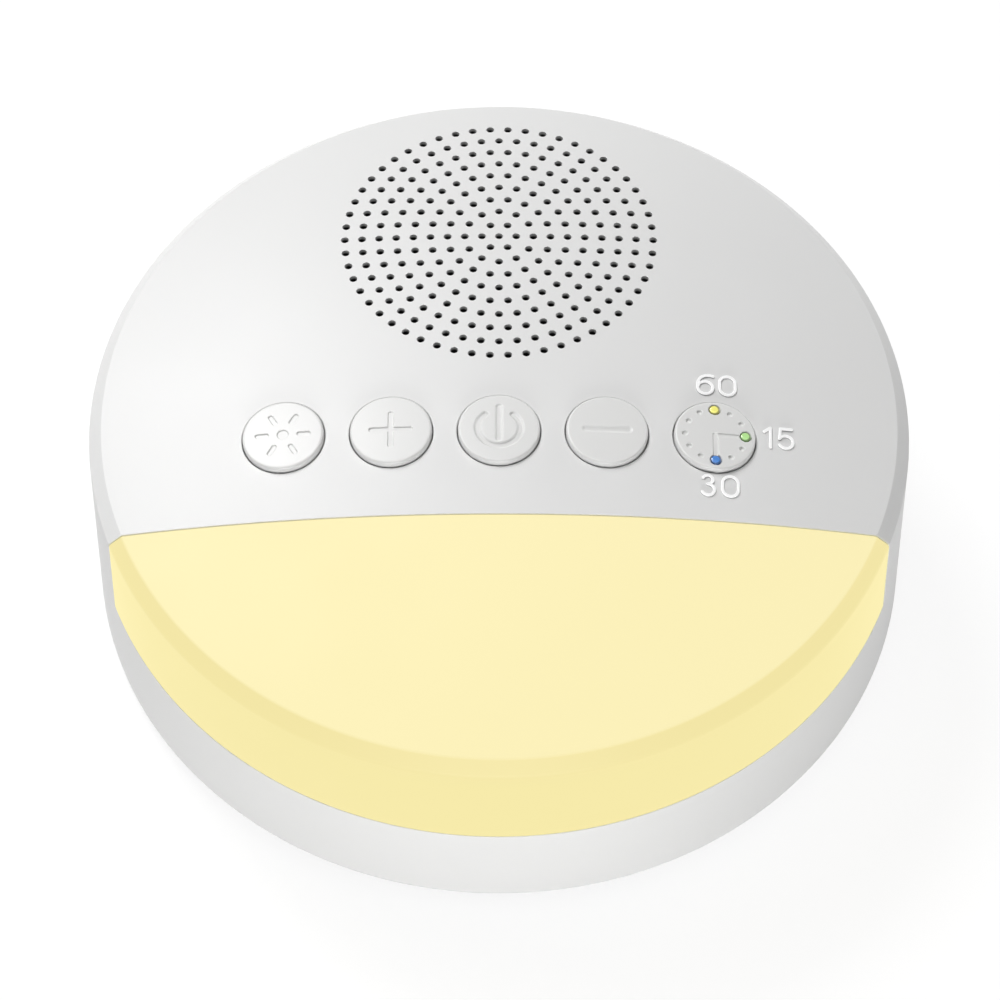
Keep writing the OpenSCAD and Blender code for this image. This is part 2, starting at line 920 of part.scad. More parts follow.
module lead_sockets() {
  wall_t = 0.8;
  slot_z = 3.2;
  slot_h = 1;
  slot_depth = 0.6;
  color("#efece2")
    for (p = socket_places)
      translate([p[0] - socket_size[0] / 2, p[1] - socket_size[1] / 2, board_z - socket_size[2]])
        difference() {
          cube(socket_size);
          translate([-1, wall_t, slot_z])
            cube([1 + slot_depth, socket_size[1] - 2 * wall_t, slot_h]);
        }
}

module power_board() {
  color(BOARD_GREEN)
    difference() {
      translate([-power_board_w / 2, power_board_y0, power_board_z])
        cube([power_board_w, power_board_l, board_t]);
      for (s = [-1, 1])
        translate([s * power_post_x, power_post_y, power_board_z - 1])
          rod(small_clear_r, board_t + 2);
    }
}

module power_board_screws() {
  color(STEEL)
    for (s = [-1, 1])
      translate([s * power_post_x, power_post_y, power_board_z + board_t])
        mirror([0, 0, 1])
          screw(small_head_r, small_head_h, small_screw_r, power_screw_l);
}

module power_socket() {
  color(STEEL)
    difference() {
      socket_form(socket_w, socket_h, socket_mouth_y - socket_l, socket_l);
      socket_form(socket_cavity_w, socket_cavity_h, socket_mouth_y - socket_cavity_l, REACH);
    }
}

module socket_tongue() {
  root_y = socket_mouth_y - socket_cavity_l;
  color(DARK)
    translate([-tongue_w / 2, root_y, socket_axis_z - tongue_t / 2])
      cube([tongue_w, tongue_l + 0.6, tongue_t]);
}

// White tray behind the lens: a floor, a low lip and a tall back wall
module light_reflector() {
  color(WHITE)
    difference() {
      intersection() {
        union() {
          translate([0, 0, tray_z])
            cylinder(r = tray_r, h = tray_t + light_board_t, $fn = 2 * SMOOTH);
          translate([-REACH, tray_back_y - tray_t, tray_z])
            cube([2 * REACH, tray_t, REACH]);
        }
        inside(wall + lens_lap_t + tray_clear);
        front_block(-tray_back_y, tray_z);
      }
      intersection() {
        translate([0, 0, light_board_z])
          cylinder(r = tray_r - tray_lip_t, h = REACH, $fn = 2 * SMOOTH);
        front_block(-tray_back_y + tray_t, light_board_z);
      }
      translate([notch_x - notch_w / 2, tray_back_y - 2 * tray_t, light_board_z])
        cube([notch_w, 3 * tray_t, notch_h]);
      at_polar(boss_place_r, front_boss_angles)
        translate([0, 0, tray_z - 1]) rod(clear_r, tray_t + 2);
    }
}

module light_board() {
  color("#f4f4f0")
    difference() {
      intersection() {
        translate([0, 0, light_board_z])
          cylinder(r = tray_r - tray_lip_t - 0.2, h = light_board_t, $fn = 2 * SMOOTH);
        front_block(-light_board_y, light_board_z - 1);
      }
      at_polar(boss_place_r, front_boss_angles)
        translate([0, 0, light_board_z - 1]) rod(clear_r, light_board_t + 2);
    }
}

module light_leds() {
  step = led_span / (light_led_count - 1);
  color("#f6e27a")
    for (i = [0:light_led_count - 1])
      rotate([0, 0, 270 - led_span / 2 + i * step])
        translate([light_led_arc_r - led_size[1] / 2, -led_size[0] / 2, light_board_top])
          cube([led_size[1], led_size[0], led_size[2]]);
}

module light_board_screws() {
  color(STEEL)
    at_polar(boss_place_r, front_boss_angles)
      translate([0, 0, light_board_top])
        mirror([0, 0, 1])
          screw(screw_head_r, screw_head_h, screw_r, light_screw_l);
}

// A wire of 8 sides along a smooth curve through hand-chosen points
function along(a, b, c, d, t) =
  0.5 * (2 * b + (c - a) * t + (2 * a - 5 * b + 4 * c - d) * t * t
    + (3 * b - a - 3 * c + d) * t * t * t);
function curve(p, n) = [
  for (i = [0:len(p) - 2], j = [0:n - 1])
    along(p[max(i - 1, 0)], p[i], p[i + 1], p[min(i + 2, len(p) - 1)], j / n),
  p[len(p) - 1]
];
function unit(v) = v / norm(v);
function square_to(v, t) = unit(v - (v * t) * t);
function heading(p, i) = unit(p[min(i + 1, len(p) - 1)] - p[max(i - 1, 0)]);

module wire(route, start_side) {
  sides = 8;
  p = curve(route, 3);
  last = len(p) - 1;
  normals = [
    for (i = 0, v = square_to(start_side, heading(p, 0));
         i <= last;
         i = i + 1, v = square_to(v, heading(p, min(i, last))))
      v
  ];
  points = [
    for (i = [0:last], k = [0:sides - 1])
      let (a = k * 360 / sides, t = heading(p, i), u = normals[i])
        p[i] + wire_d / 2 * (cos(a) * u + sin(a) * cross(t, u))
  ];
  sides_faces = [
    for (i = [0:last - 1], k = [0:sides - 1])
      let (n = (k + 1) % sides)
        [i * sides + n, i * sides + k, (i + 1) * sides + k, (i + 1) * sides + n]
  ];
  ends = [
    [for (k = [0:sides - 1]) k],
    [for (k = [sides - 1:-1:0]) last * sides + k]
  ];
  polyhedron(points, concat(sides_faces, ends), convexity = 4);
}

module lead(route, offset, start_side, colours) {
  for (i = [0, 1])
    color(colours[i])
      wire([for (p = route) p + (i - 0.5) * offset], start_side);
}

module power_lead() {
  plug = socket_places[1];
  plug_z = board_z - socket_size[2];
  top = power_board_z + board_t;
  start_y = power_board_y0 + 2.6;
  lead(
    [
      [0, start_y, top],
      [0, start_y, top + 0.7],
      [0, start_y, top + 1.4],
      [power_post_x, start_y, top + 2.6],
      [15, 36, 8.4],
      [26, 23, 6.4],
      [29.5, 8, 7.6],
      [28, -1, 12],
      [plug[0], plug[1], plug_z - 3],
      [plug[0], plug[1], plug_z - 1.5],
      [plug[0], plug[1], plug_z]
    ],
    [1, 1, 0] * wire_gap / sqrt(2),
    [1, 0, 0],
    ["#b02020", "#202022"]
  );
}

module speaker_lead() {
  plug = socket_places[0];
  plug_z = board_z - socket_size[2];
  lead(
    [
      [strip_x, grille_y, lug_z],
      [strip_x, grille_y, lug_z - 1],
      [strip_x, grille_y, lug_z - 2],
      [-24.5, 18, 20.5],
      [-26.5, 7, 17.5],
      [plug[0], plug[1], plug_z - 3],
      [plug[0], plug[1], plug_z - 1.5],
      [plug[0], plug[1], plug_z]
    ],
    [1, 0, 0] * wire_gap,
    [1, 0, 0],
    ["#b02020", "#202022"]
  );
}

module light_lead() {
  plug = socket_places[2];
  plug_z = board_z - socket_size[2];
  start_y = light_board_y - 2.4;
  lead(
    [
      [notch_x, start_y, light_board_top],
      [notch_x, start_y, light_board_top + 0.5],
      [notch_x, start_y, light_board_top + 1],
      [notch_x, tray_back_y, light_board_top + 1.2],
      [plug[0], plug[1] - 1, plug_z - 2.2],
      [plug[0], plug[1], plug_z - 1],
      [plug[0], plug[1], plug_z - 0.5],
      [plug[0], plug[1], plug_z]
    ],
    [1, 0, 0] * wire_gap,
    [1, 0, 0],
    ["#efece2", "#202022"]
  );
}

// A button cap in the dome's own frame: round edge, hollow, with a flange
module cap_form() {
  top = button_proud;
  crown_z = top - cap_crown_r;
  edge_r = min(button_edge_r, button_proud);
  rotate_extrude($fn = SMOOTH)
    difference() {
      union() {
        intersection() {
          union() {
            translate([0, cap_bottom]) square([button_r, top - edge_r - cap_bottom]);
            translate([0, top - edge_r - JOIN]) square([button_r - edge_r, edge_r + JOIN]);
            translate([button_r - edge_r, top - edge_r]) circle(r = edge_r, $fn = FINE);
          }
          translate([0, crown_z]) circle(r = cap_crown_r, $fn = DOME_STEPS);
          translate([0, cap_bottom]) square([button_r, REACH]);
        }
        translate([0, cap_bottom]) square([button_r + cap_flange_w, cap_flange_t]);
      }
      translate([0, cap_bottom - 1])
        square([button_r - cap_skirt_t, top - cap_roof_t - cap_bottom + 1]);
    }
}

// A button cap with its stem, and the symbol given as a child sunk into it
module button_cap(i) {
  stem_z = board_top + switch_h;
  stem_top = dome_height(norm([button_x[i], button_y])) - 0.3;
  color(CAP_WHITE)
    difference() {
      union() {
        on_dome(button_x[i], button_y) cap_form();
        translate([button_x[i], button_y, stem_z]) rod(stem_r, stem_top - stem_z);
      }
      on_dome(button_x[i], button_y)
        translate([0, 0, button_proud - icon_depth])
          linear_extrude(icon_depth + 1)
            children();
    }
}

// Sun: a small disc with six rays
module light_button_cap() {
  button_cap(0) {
    circle(r = 0.8, $fn = FINE);
    for (a = [0:60:300]) bar(polar(2.2, a), polar(3.4, a), icon_w);
  }
}

module plus_button_cap() {
  arm = 2.4;
  button_cap(1) {
    bar([-arm, 0], [arm, 0], icon_w);
    bar([0, -arm], [0, arm], icon_w);
  }
}

// Power: an open ring with an upright bar
module power_button_cap() {
  ring_r = 2.7;
  half_gap = 41;
  bar_low = -1.6;
  bar_high = 3.2;
  button_cap(2) {
    arc(ring_r, icon_w, 90 + half_gap, 450 - half_gap);
    bar([0, bar_low], [0, bar_high], icon_w);
  }
}

module minus_button_cap() {
  arm = 2.7;
  button_cap(3) bar([-arm, 0], [arm, 0], icon_w);
}

// Timer: a clock face with two hands, nine marks and three indicator holes
module timer_button_cap() {
  hand = 2.9;
  button_cap(4) {
    bar([0, 0], [hand, 0], icon_w * 0.8);
    bar([0, 0], [0, -hand], icon_w * 0.8);
    for (i = [0:11])
      translate(polar(dial_mark_r, i * 30))
        circle(r = mark_r, $fn = FINE);
  }
}

module timer_cap_with_holes() {
  difference() {
    timer_button_cap();
    on_dome(button_x[4], button_y)
      at_polar(dial_mark_r, [90, 0, 270])
        translate([0, 0, -cap_roof_t - 2])
          rod(indicator_r + indicator_fit, REACH);
  }
}

// A light pipe that carries the light of its LED to the face of the cap
module indicator(angle, colour) {
  top = button_proud - indicator_sunk;
  pipe_l = dome_height(norm([button_x[4], button_y])) + top - indicator_z;
  color(colour)
    on_dome(button_x[4], button_y)
      translate(polar(dial_mark_r, angle))
        translate([0, 0, top - pipe_l])
          rod(indicator_r, pipe_l);
}

module yellow_indicator() { indicator(90, "#f2e75a"); }
module green_indicator() { indicator(0, "#8ee07a"); }
module blue_indicator() { indicator(270, "#2f7fe0"); }

upper_housing();
light_lens();
base_cover();
rubber_feet();
base_screws();
grille_cloth();
speaker_gasket();
speaker_basket();
speaker_top_plate();
speaker_magnet();
speaker_yoke();
speaker_surround();
speaker_spider();
speaker_cone();
voice_coil();
dust_cap();
speaker_terminal_strip();
speaker_lugs();
speaker_screws();
control_board();
control_board_screws();
switch_bodies();
timer_leds();
sound_processor();
sound_memory();
amplifier();
capacitors();
resistors();
lead_sockets();
power_board();
power_board_screws();
power_socket();
socket_tongue();
light_reflector();
light_board();
light_leds();
light_board_screws();
power_lead();
speaker_lead();
light_lead();
light_button_cap();
plus_button_cap();
power_button_cap();
minus_button_cap();
timer_cap_with_holes();  // timer_button_cap
light_switch_plunger();
plus_switch_plunger();
power_switch_plunger();
minus_switch_plunger();
timer_switch_plunger();
yellow_indicator();
green_indicator();
blue_indicator();
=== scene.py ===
"""White noise sound machine: fine surfaces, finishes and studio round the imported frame.

The housing, the lens, the caps and the small parts that show are surfaces worked out with numpy
from the same levels as the solids. Everything else keeps its solid and gets a finish.
All lengths are metres; +Z is up and the night light faces -Y.
"""
import json
import logging
import math
from dataclasses import dataclass, field, replace
from enum import Enum
from typing import Any, Iterable, Sequence

import bpy
import numpy as np
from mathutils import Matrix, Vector
from mathutils.geometry import delaunay_2d_cdt


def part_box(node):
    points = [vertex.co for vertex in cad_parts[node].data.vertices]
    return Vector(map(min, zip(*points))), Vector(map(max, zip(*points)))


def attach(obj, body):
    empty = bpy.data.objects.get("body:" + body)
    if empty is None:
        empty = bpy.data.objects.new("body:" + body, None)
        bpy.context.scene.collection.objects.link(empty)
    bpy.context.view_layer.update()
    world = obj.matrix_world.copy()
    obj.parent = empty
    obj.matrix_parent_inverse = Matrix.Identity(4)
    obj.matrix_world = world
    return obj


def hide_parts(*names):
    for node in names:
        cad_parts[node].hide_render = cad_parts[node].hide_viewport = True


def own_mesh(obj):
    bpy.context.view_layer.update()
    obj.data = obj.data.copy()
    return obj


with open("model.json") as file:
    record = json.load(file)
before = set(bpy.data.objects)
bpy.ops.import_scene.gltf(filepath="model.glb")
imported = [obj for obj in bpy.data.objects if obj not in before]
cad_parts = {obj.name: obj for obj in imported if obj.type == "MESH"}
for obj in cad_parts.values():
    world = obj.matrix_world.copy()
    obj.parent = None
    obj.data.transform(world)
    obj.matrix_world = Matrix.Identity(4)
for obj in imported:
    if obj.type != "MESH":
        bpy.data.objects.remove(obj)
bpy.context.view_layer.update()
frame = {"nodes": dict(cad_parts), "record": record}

MM = 0.001
RIGHT_TURN = math.pi / 2
FULL_TURN = 2 * math.pi
X_AXIS, Y_AXIS, Z_AXIS = np.eye(3)
LEVEL = X_AXIS + Y_AXIS

# The dome's ball and the grille's middle, which the surfaces and the finishes share.
DOME_R = 230 * MM
DOME_Z = -192.7 * MM
GRILLE_Y = 26 * MM

# Blender's wave texture turns by this many radians for each unit of its scale.
WAVE_RATE = 20.0
# Steps of a rounded edge on the housing and the lens.
EDGE_STEPS = 3
# A shorter vector has no direction.
SHORTEST = 1e-12
# Plan points that are closer than this are one point.
SAME_PLACE = 1e-9

Array = np.ndarray
Colour = tuple[float, float, float]
Place = tuple[float, float]
Point = tuple[float, float, float]
log = logging.getLogger("sound_machine")


# --------------------------------------------------------------------------------------------
# Arrays
# --------------------------------------------------------------------------------------------

def unit(vectors: Array) -> Array:
    """Scales vectors along the last axis to length one."""
    length = np.linalg.norm(vectors, axis=-1, keepdims=True)
    return vectors / np.maximum(length, SHORTEST)


def points_at(x: Array, y: Array, z: Array) -> Array:
    """Stacks three arrays of coordinates, which may need stretching, into points."""
    return np.stack(np.broadcast_arrays(x, y, z), axis=-1).astype(float)


def polar(radius: Array, angle: Array, z: Array = 0.0) -> Array:
    """Points at radii and angles round the Z axis."""
    return points_at(radius * np.cos(angle), radius * np.sin(angle), z)


def smooth(t: Array) -> Array:
    """Blend that is 0 below 0, 1 above 1, and 3t^2 - 2t^3 between."""
    t = np.clip(t, 0.0, 1.0)
    return t * t * (3 - 2 * t)


def round_turns(count: int) -> Array:
    """Angles of columns spread evenly round a circle."""
    return np.arange(count) * FULL_TURN / count


def quarter_turns(steps: int) -> Array:
    """Angles from 0 to a right turn."""
    return np.linspace(0, RIGHT_TURN, steps + 1)


def half_turns(start: Array, steps: int) -> Array:
    """Rows of angles from each start to the same angle short of a half turn."""
    return start[:, None] + np.linspace(0, 1, steps + 1) * (math.pi - 2 * start[:, None])


def round_places(radius: float, angles: Iterable[float]) -> list[Place]:
    """Places on a circle at angles in degrees."""
    return [(radius * math.cos(math.radians(a)), radius * math.sin(math.radians(a))) for a in angles]


def turn_to(normal: Array) -> Array:
    """Finds the turn about a level axis that takes +Z to a direction.

    Args:
        normal: The direction, of length one.

    Returns:
        A 3 by 3 matrix whose columns are the turned X, Y and Z axes, from Rodrigues' formula.
    """
    axis = np.cross(Z_AXIS, normal)
    skew = np.array([[0, -axis[2], axis[1]], [axis[2], 0, -axis[0]], [-axis[1], axis[0], 0]])
    return np.eye(3) + skew + skew @ skew / (1 + normal[2])


@dataclass(frozen=True)
class Seat:
    """A place on the object with its own axes, on which a small part is modelled."""

    origin: Array
    axes: Array

    def points(self, local: Array) -> Array:
        """Points of the object's frame for points of the seat's own."""
        return self.origin + local @ self.axes.T

    def directions(self, local: Array) -> Array:
        """Directions of the object's frame for directions of the seat's own."""
        return local @ self.axes.T


def level_seat(x: float, y: float, z: float = 0.0) -> Seat:
    """A seat whose axes are the object's own."""
    return Seat(np.array([x, y, z]), np.eye(3))


class Skin:
    """Collects patches of a closed surface and welds them into one mesh.

    Every patch brings points and outward normals. A face corner keeps the normal of its own
    patch, so a patch is smooth inside and the edge between two patches is as crisp as their
    normals say. Faces are turned to agree with the normals, whatever way a patch was laid out.
    Points in one cell of a fine grid are welded, and the grid's shift keeps the borders of its
    cells away from round lengths.
    """

    WELD = 1e-6
    WELD_SHIFT = 0.37

    def __init__(self) -> None:
        """Starts with no patches."""
        self._points: list[Array] = []
        self._normals: list[Array] = []
        self._faces: dict[int, list[Array]] = {3: [], 4: []}
        self._count = 0

    def patch(self, points: Array, normals: Array, faces: Array) -> None:
        """Adds a patch.

        Args:
            points: Points, as an array whose last axis has three numbers.
            normals: Outward normals, of the same shape.
            faces: Rows of three or four point numbers.
        """
        points = points.reshape(-1, 3)
        normals = unit(normals.reshape(-1, 3))
        corners = points[faces]
        if faces.shape[1] == 4:
            facing = np.cross(corners[:, 2] - corners[:, 0], corners[:, 3] - corners[:, 1])
        else:
            facing = np.cross(corners[:, 1] - corners[:, 0], corners[:, 2] - corners[:, 0])
        away = np.einsum("ij,ij->i", facing, normals[faces].mean(axis=1)) < 0
        faces = np.where(away[:, None], faces[:, ::-1], faces)
        self._faces[faces.shape[1]].append(faces + self._count)
        self._points.append(points)
        self._normals.append(normals)
        self._count += len(points)

    def grid(self, points: Array, normals: Array, wrap: bool = False) -> None:
        """Adds a grid of quads.

        Args:
            points: Points of shape (..., rows, columns, 3). Leading axes are copies.
            normals: Outward normals, of the same shape or one that stretches to it.
            wrap: Whether the last column joins the first.
        """
        normals = np.broadcast_to(normals, points.shape)
        rows, columns = points.shape[-3:-1]
        copies = int(np.prod(points.shape[:-3]))
        number = np.arange(copies * rows * columns).reshape(copies, rows, columns)
        if wrap:
            number = np.concatenate([number, number[:, :, :1]], axis=2)
        quads = np.stack(
            [number[:, :-1, :-1], number[:, 1:, :-1], number[:, 1:, 1:], number[:, :-1, 1:]],
            axis=-1,
        )
        self.patch(points, normals, quads.reshape(-1, 4))

    def band(self, seat: Seat, points: Array, normals: Array) -> None:
        """Adds a grid that goes once round, from points and normals on a seat's own axes."""
        self.grid(seat.points(points), seat.directions(normals), wrap=True)

    def lathe(self, corners: Sequence[Place], seat: Seat, sides: int = 96) -> None:
        """Turns an outline about the seat's Z axis, with crisp edges between its lines.

        Args:
            corners: (radius, height) of each corner, walked down the outside, then inwards.
            seat: Where the axis stands.
            sides: Columns round the axis.
        """
        for (r0, z0), (r1, z1) in zip(corners[:-1], corners[1:]):
            lean = math.atan2(z0 - z1, r1 - r0)
            self.turned([r0, r1], [z0, z1], [lean, lean], seat, sides)

    def turned(self, radius: Sequence[float], height: Sequence[float], lean: Sequence[float],
               seat: Seat, sides: int = 96) -> None:
        """Turns a smooth outline about the seat's Z axis.

        Args:
            radius: Radius of each row.
            height: Height of each row.
            lean: Angle of each row's normal from the axis: 0 points up, a right turn outwards.
            seat: Where the axis stands.
            sides: Columns round the axis.
        """
        angle = round_turns(sides)
        r, z, a = (np.asarray(v, float)[:, None] for v in (radius, height, lean))
        self.band(seat, polar(r, angle, z), polar(np.sin(a), angle, np.cos(a)))

    def _welded(self) -> tuple[Array, dict[int, Array], dict[int, Array]]:
        """Joins points that coincide.

        Returns:
            The points, and for three and four corners the faces and their corners' normals.
        """
        points = np.concatenate(self._points)
        normals = np.concatenate(self._normals)
        key = np.floor(points / self.WELD + self.WELD_SHIFT).astype(np.int64)
        _, first, number = np.unique(key, axis=0, return_index=True, return_inverse=True)
        number = number.reshape(-1)
        quads = np.concatenate([np.zeros((0, 4), int), *self._faces[4]])
        triangles = [np.zeros((0, 3), int), *self._faces[3]]
        same = number[quads] == np.roll(number[quads], -1, axis=1)
        pinched = same.sum(axis=1)
        for corner in range(4):
            narrow = quads[(pinched == 1) & same[:, corner]]
            triangles.append(np.delete(narrow, corner, axis=1))
        quads = quads[pinched == 0]
        triangle = np.concatenate(triangles)
        joined = number[triangle]
        triangle = triangle[(joined != np.roll(joined, -1, axis=1)).all(axis=1)]
        faces = {3: number[triangle], 4: number[quads]}
        return points[first], faces, {3: normals[triangle], 4: normals[quads]}

    def build(self, name: str, material: bpy.types.Material) -> bpy.types.Object:
        """Makes the mesh object.

        Args:
            name: The piece's name.
            material: Its finish.

        Returns:
            The object, at the origin, with its corners' normals set.
        """
        points, faces, normals = self._welded()
        corners = np.concatenate([faces[3].ravel(), faces[4].ravel()])
        sizes = np.repeat([3, 4], [len(faces[3]), len(faces[4])])
        starts = np.concatenate([[0], np.cumsum(sizes)[:-1]])
        mesh = bpy.data.meshes.new(name)
        mesh.vertices.add(len(points))
        mesh.vertices.foreach_set("co", points.astype(np.float32).ravel())
        mesh.loops.add(len(corners))
        mesh.loops.foreach_set("vertex_index", corners.astype(np.int32))
        mesh.polygons.add(len(sizes))
        mesh.polygons.foreach_set("loop_start", starts.astype(np.int32))
        mesh.update(calc_edges=True)
        mesh.polygons.foreach_set("use_smooth", np.ones(len(sizes), bool))
        split = np.concatenate([normals[3].reshape(-1, 3), normals[4].reshape(-1, 3)])
        mesh.normals_split_custom_set(split.tolist())
        mesh.materials.append(material)
        piece = bpy.data.objects.new(name, mesh)
        bpy.context.scene.collection.objects.link(piece)
        return piece


def triangulate(points: Array, rings: Array, edges: Array) -> Array:
    """Fills a convex region that has convex holes with triangles.

    Args:
        points: Plan points, with the region's corners among them.
        rings: For each point the number of the hole that it lies on, or -1.
        edges: Pairs of point numbers that triangles may not cross.

    Returns:
        Rows of three point numbers. A triangle with all its corners on one hole is left out.
    """
    plan = [Vector(p) for p in points.tolist()]
    _, _, faces, sources, _, _ = delaunay_2d_cdt(plan, edges.tolist(), [], 0, SAME_PLACE)
    source = np.array([s[0] for s in sources])
    triangles = source[np.array(faces)]
    ring = rings[triangles]
    in_hole = (ring[:, 0] >= 0) & (ring == ring[:, :1]).all(axis=1)
    return triangles[~in_hole]


# --------------------------------------------------------------------------------------------
# Finishes
# --------------------------------------------------------------------------------------------

class Signal:
    """A value in a node tree. Arithmetic on it adds Math nodes."""

    def __init__(self, graph: "Graph", socket: bpy.types.NodeSocket) -> None:
        """Wraps an output socket of the graph's tree."""
        self.graph = graph
        self.socket = socket

    def _math(self, operation: str, first: Any, second: Any) -> "Signal":
        """Adds a Math node with two values."""
        return self.graph.node("Math", {"operation": operation}, {0: first, 1: second})

    def __add__(self, other: Any) -> "Signal":
        """Sum."""
        return self._math("ADD", self, other)

    __radd__ = __add__

    def __sub__(self, other: Any) -> "Signal":
        """Difference."""
        return self._math("SUBTRACT", self, other)

    def __rsub__(self, other: Any) -> "Signal":
        """Difference, with the signal taken away."""
        return self._math("SUBTRACT", other, self)

    def __mul__(self, other: Any) -> "Signal":
        """Product."""
        return self._math("MULTIPLY", self, other)

    __rmul__ = __mul__


class Graph:
    """The node tree of a material or of the world."""

    def __init__(self, tree: bpy.types.NodeTree) -> None:
        """Empties the tree and takes it over."""
        self.tree = tree
        tree.nodes.clear()

    def node(self, kind: str, settings: dict[str, Any] | None = None,
             inputs: dict[Any, Any] | None = None, out: Any = 0) -> Signal | None:
        """Adds any node.

        Args:
            kind: The node's type without its ShaderNode prefix.
            settings: Properties of the node, set first.
            inputs: Values or signals for its sockets, by number or name.
            out: The output socket that is wanted, by number or name, or None.

        Returns:
            That output, or nothing where none is wanted.
        """
        node = self.tree.nodes.new("ShaderNode" + kind)
        for name, value in (settings or {}).items():
            setattr(node, name, value)
        for name, value in (inputs or {}).items():
            socket = node.inputs[name]
            if isinstance(value, Signal):
                self.tree.links.new(value.socket, socket)
            else:
                socket.default_value = (*value, 1.0) if socket.type == "RGBA" else value
        return None if out is None else Signal(self, node.outputs[out])

    def position(self, scale: Sequence[float] = (1, 1, 1)) -> Signal:
        """Object coordinates, stretched along the axes."""
        place = self.node("TexCoord", out="Object")
        return self.node("VectorMath", {"operation": "MULTIPLY"}, {0: place, 1: tuple(scale)})

    def height(self) -> Signal:
        """How far a point is above the floor."""
        return self.node("SeparateXYZ", inputs={0: self.node("TexCoord", out="Object")}, out="Z")

    def distance(self, place: Signal, centre: Point) -> Signal:
        """How far a place is from a centre."""
        return self.node("VectorMath", {"operation": "DISTANCE"}, {0: place, 1: centre}, out="Value")

    def noise(self, size: float, detail: float = 2.0, stretch: Sequence[float] = (1, 1, 1)) -> Signal:
        """Cloudy pattern from 0 to 1 whose patches are about as wide as size."""
        values = {"Scale": 1 / size, "Detail": detail, "Vector": self.position(stretch)}
        return self.node("TexNoise", inputs=values, out="Fac")

    def ridges(self, spacing: float, axis: str, distortion: float) -> Signal:
        """Even ridges from 0 to 1, a spacing apart along an axis.

        Args:
            spacing: Distance between two ridges.
            axis: "X", "Y" or "Z".
            distortion: How much the ridges wander.

        Returns:
            The height of the ridges.
        """
        settings = {"wave_type": "BANDS", "bands_direction": axis, "wave_profile": "SIN"}
        scale = FULL_TURN / (WAVE_RATE * spacing)
        values = {"Scale": scale, "Distortion": distortion, "Vector": self.position()}
        return self.node("TexWave", settings, values, out="Fac")

    def between(self, mask: Signal, low: float, high: float) -> Signal:
        """A value that goes from low to high as the mask goes from 0 to 1."""
        return self.node("MapRange", {"clamp": True}, {"Value": mask, "To Min": low, "To Max": high})

    def about(self, mask: Signal, middle: float, spread: float) -> Signal:
        """A value that goes from a spread under the middle to a spread over it."""
        return self.between(mask, middle - spread, middle + spread)

    def rise(self, value: Signal, start: float, end: float) -> Signal:
        """A soft step that is 0 at start and 1 at end, which may be the lower one."""
        settings = {"interpolation_type": "SMOOTHSTEP", "clamp": True}
        return self.node("MapRange", settings, {"Value": value, "From Min": start, "From Max": end})

    def blend(self, mask: Signal, low: Any, high: Any) -> Signal:
        """A colour that goes from low to high as the mask goes from 0 to 1."""
        return self.node("Mix", {"data_type": "RGBA"}, {0: mask, 6: low, 7: high}, out=2)

    def shades(self, mask: Signal, colour: Colour, low: float, high: float = 1.0) -> Signal:
        """A colour that goes from low times itself to high times itself with the mask."""
        return self.blend(mask, shade(colour, low), shade(colour, high))

    def bump(self, height: Signal, depth: float) -> Signal:
        """A bent normal from a height of 0 to 1 that stands for a depth in metres."""
        return self.node("Bump", inputs={"Height": height, "Distance": depth, "Strength": 1.0})

    def seen(self) -> Signal:
        """1 for rays that show the background: from the camera, a mirror or through glass.

        Returns:
            The sum, held under 1.
        """
        kinds = ("Camera", "Glossy", "Transmission")
        camera, mirror, glass = (self.node("LightPath", out=f"Is {kind} Ray") for kind in kinds)
        return self.node("Math", {"operation": "ADD", "use_clamp": True}, {0: camera + mirror, 1: glass})

    def surface(self, **sockets: Any) -> None:
        """Ends the tree in a Principled shader, with _ for a space in its sockets' names."""
        values = {name.replace("_", " "): value for name, value in sockets.items()}
        shader = self.node("BsdfPrincipled", inputs=values)
        self.node("OutputMaterial", inputs={"Surface": shader}, out=None)


def shade(colour: Colour, factor: float) -> Colour:
    """A lighter or darker version of a linear colour."""
    return tuple(min(1.0, channel * factor) for channel in colour)


class Finish:
    """A look that fills the node tree of a material."""

    def fill(self, graph: Graph) -> None:
        """Adds the look's nodes."""
        raise NotImplementedError

    def make(self, name: str) -> bpy.types.Material:
        """Makes a material with the look.

        Args:
            name: The material's name.

        Returns:
            The material.
        """
        material = bpy.data.materials.new(name)
        material.use_nodes = True
        self.fill(Graph(material.node_tree))
        return material


@dataclass(frozen=True)
class Moulded(Finish):
    """Injection-moulded plastic or rubber with a spark-eroded grain and slight sheen changes."""

    colour: Colour
    roughness: float = 0.35
    grain: float = 0.25 * MM
    depth: float = 0.0012 * MM
    mottle: float = 0.015
    coat: float = 0.0
    # Emission; on the raised numbers it is painted light.
    glow: float = 0.0
    cloud: float = 18 * MM
    sheen: float = 0.1
    fleck: float = 0.06

    def painted_shade(self, graph: Graph, tone: Signal) -> Signal:
        """Painted shade on the colour as it comes out of the mould; plain moulded plastic has none."""
        return tone

    def fill(self, graph: Graph) -> None:
        """Fine noise is the grain; broad noise changes tone and roughness.

        Args:
            graph: The material's empty node tree.
        """
        broad, fine = graph.noise(self.cloud, 3), graph.noise(self.grain)
        # Kinds below paint shade into the tone here.
        tone = self.painted_shade(graph, graph.shades(broad, self.colour, 1 - self.mottle, 1 + self.mottle))
        rough = graph.about(broad, self.roughness, self.roughness * self.sheen)
        graph.surface(
            Base_Color=tone, Roughness=rough + (fine - 0.5) * self.fleck,
            Normal=graph.bump(fine, self.depth), Coat_Weight=self.coat, Coat_Roughness=0.12,
            Emission_Color=tone, Emission_Strength=self.glow,
        )


@dataclass(frozen=True)
class Domed(Moulded):
    """Moulded plastic whose painted shade follows the height above the dome."""

    def above(self, graph: Graph) -> Signal:
        """How far a point stands above the dome's surface."""
        return graph.distance(graph.position(), (0.0, 0.0, DOME_Z)) - DOME_R


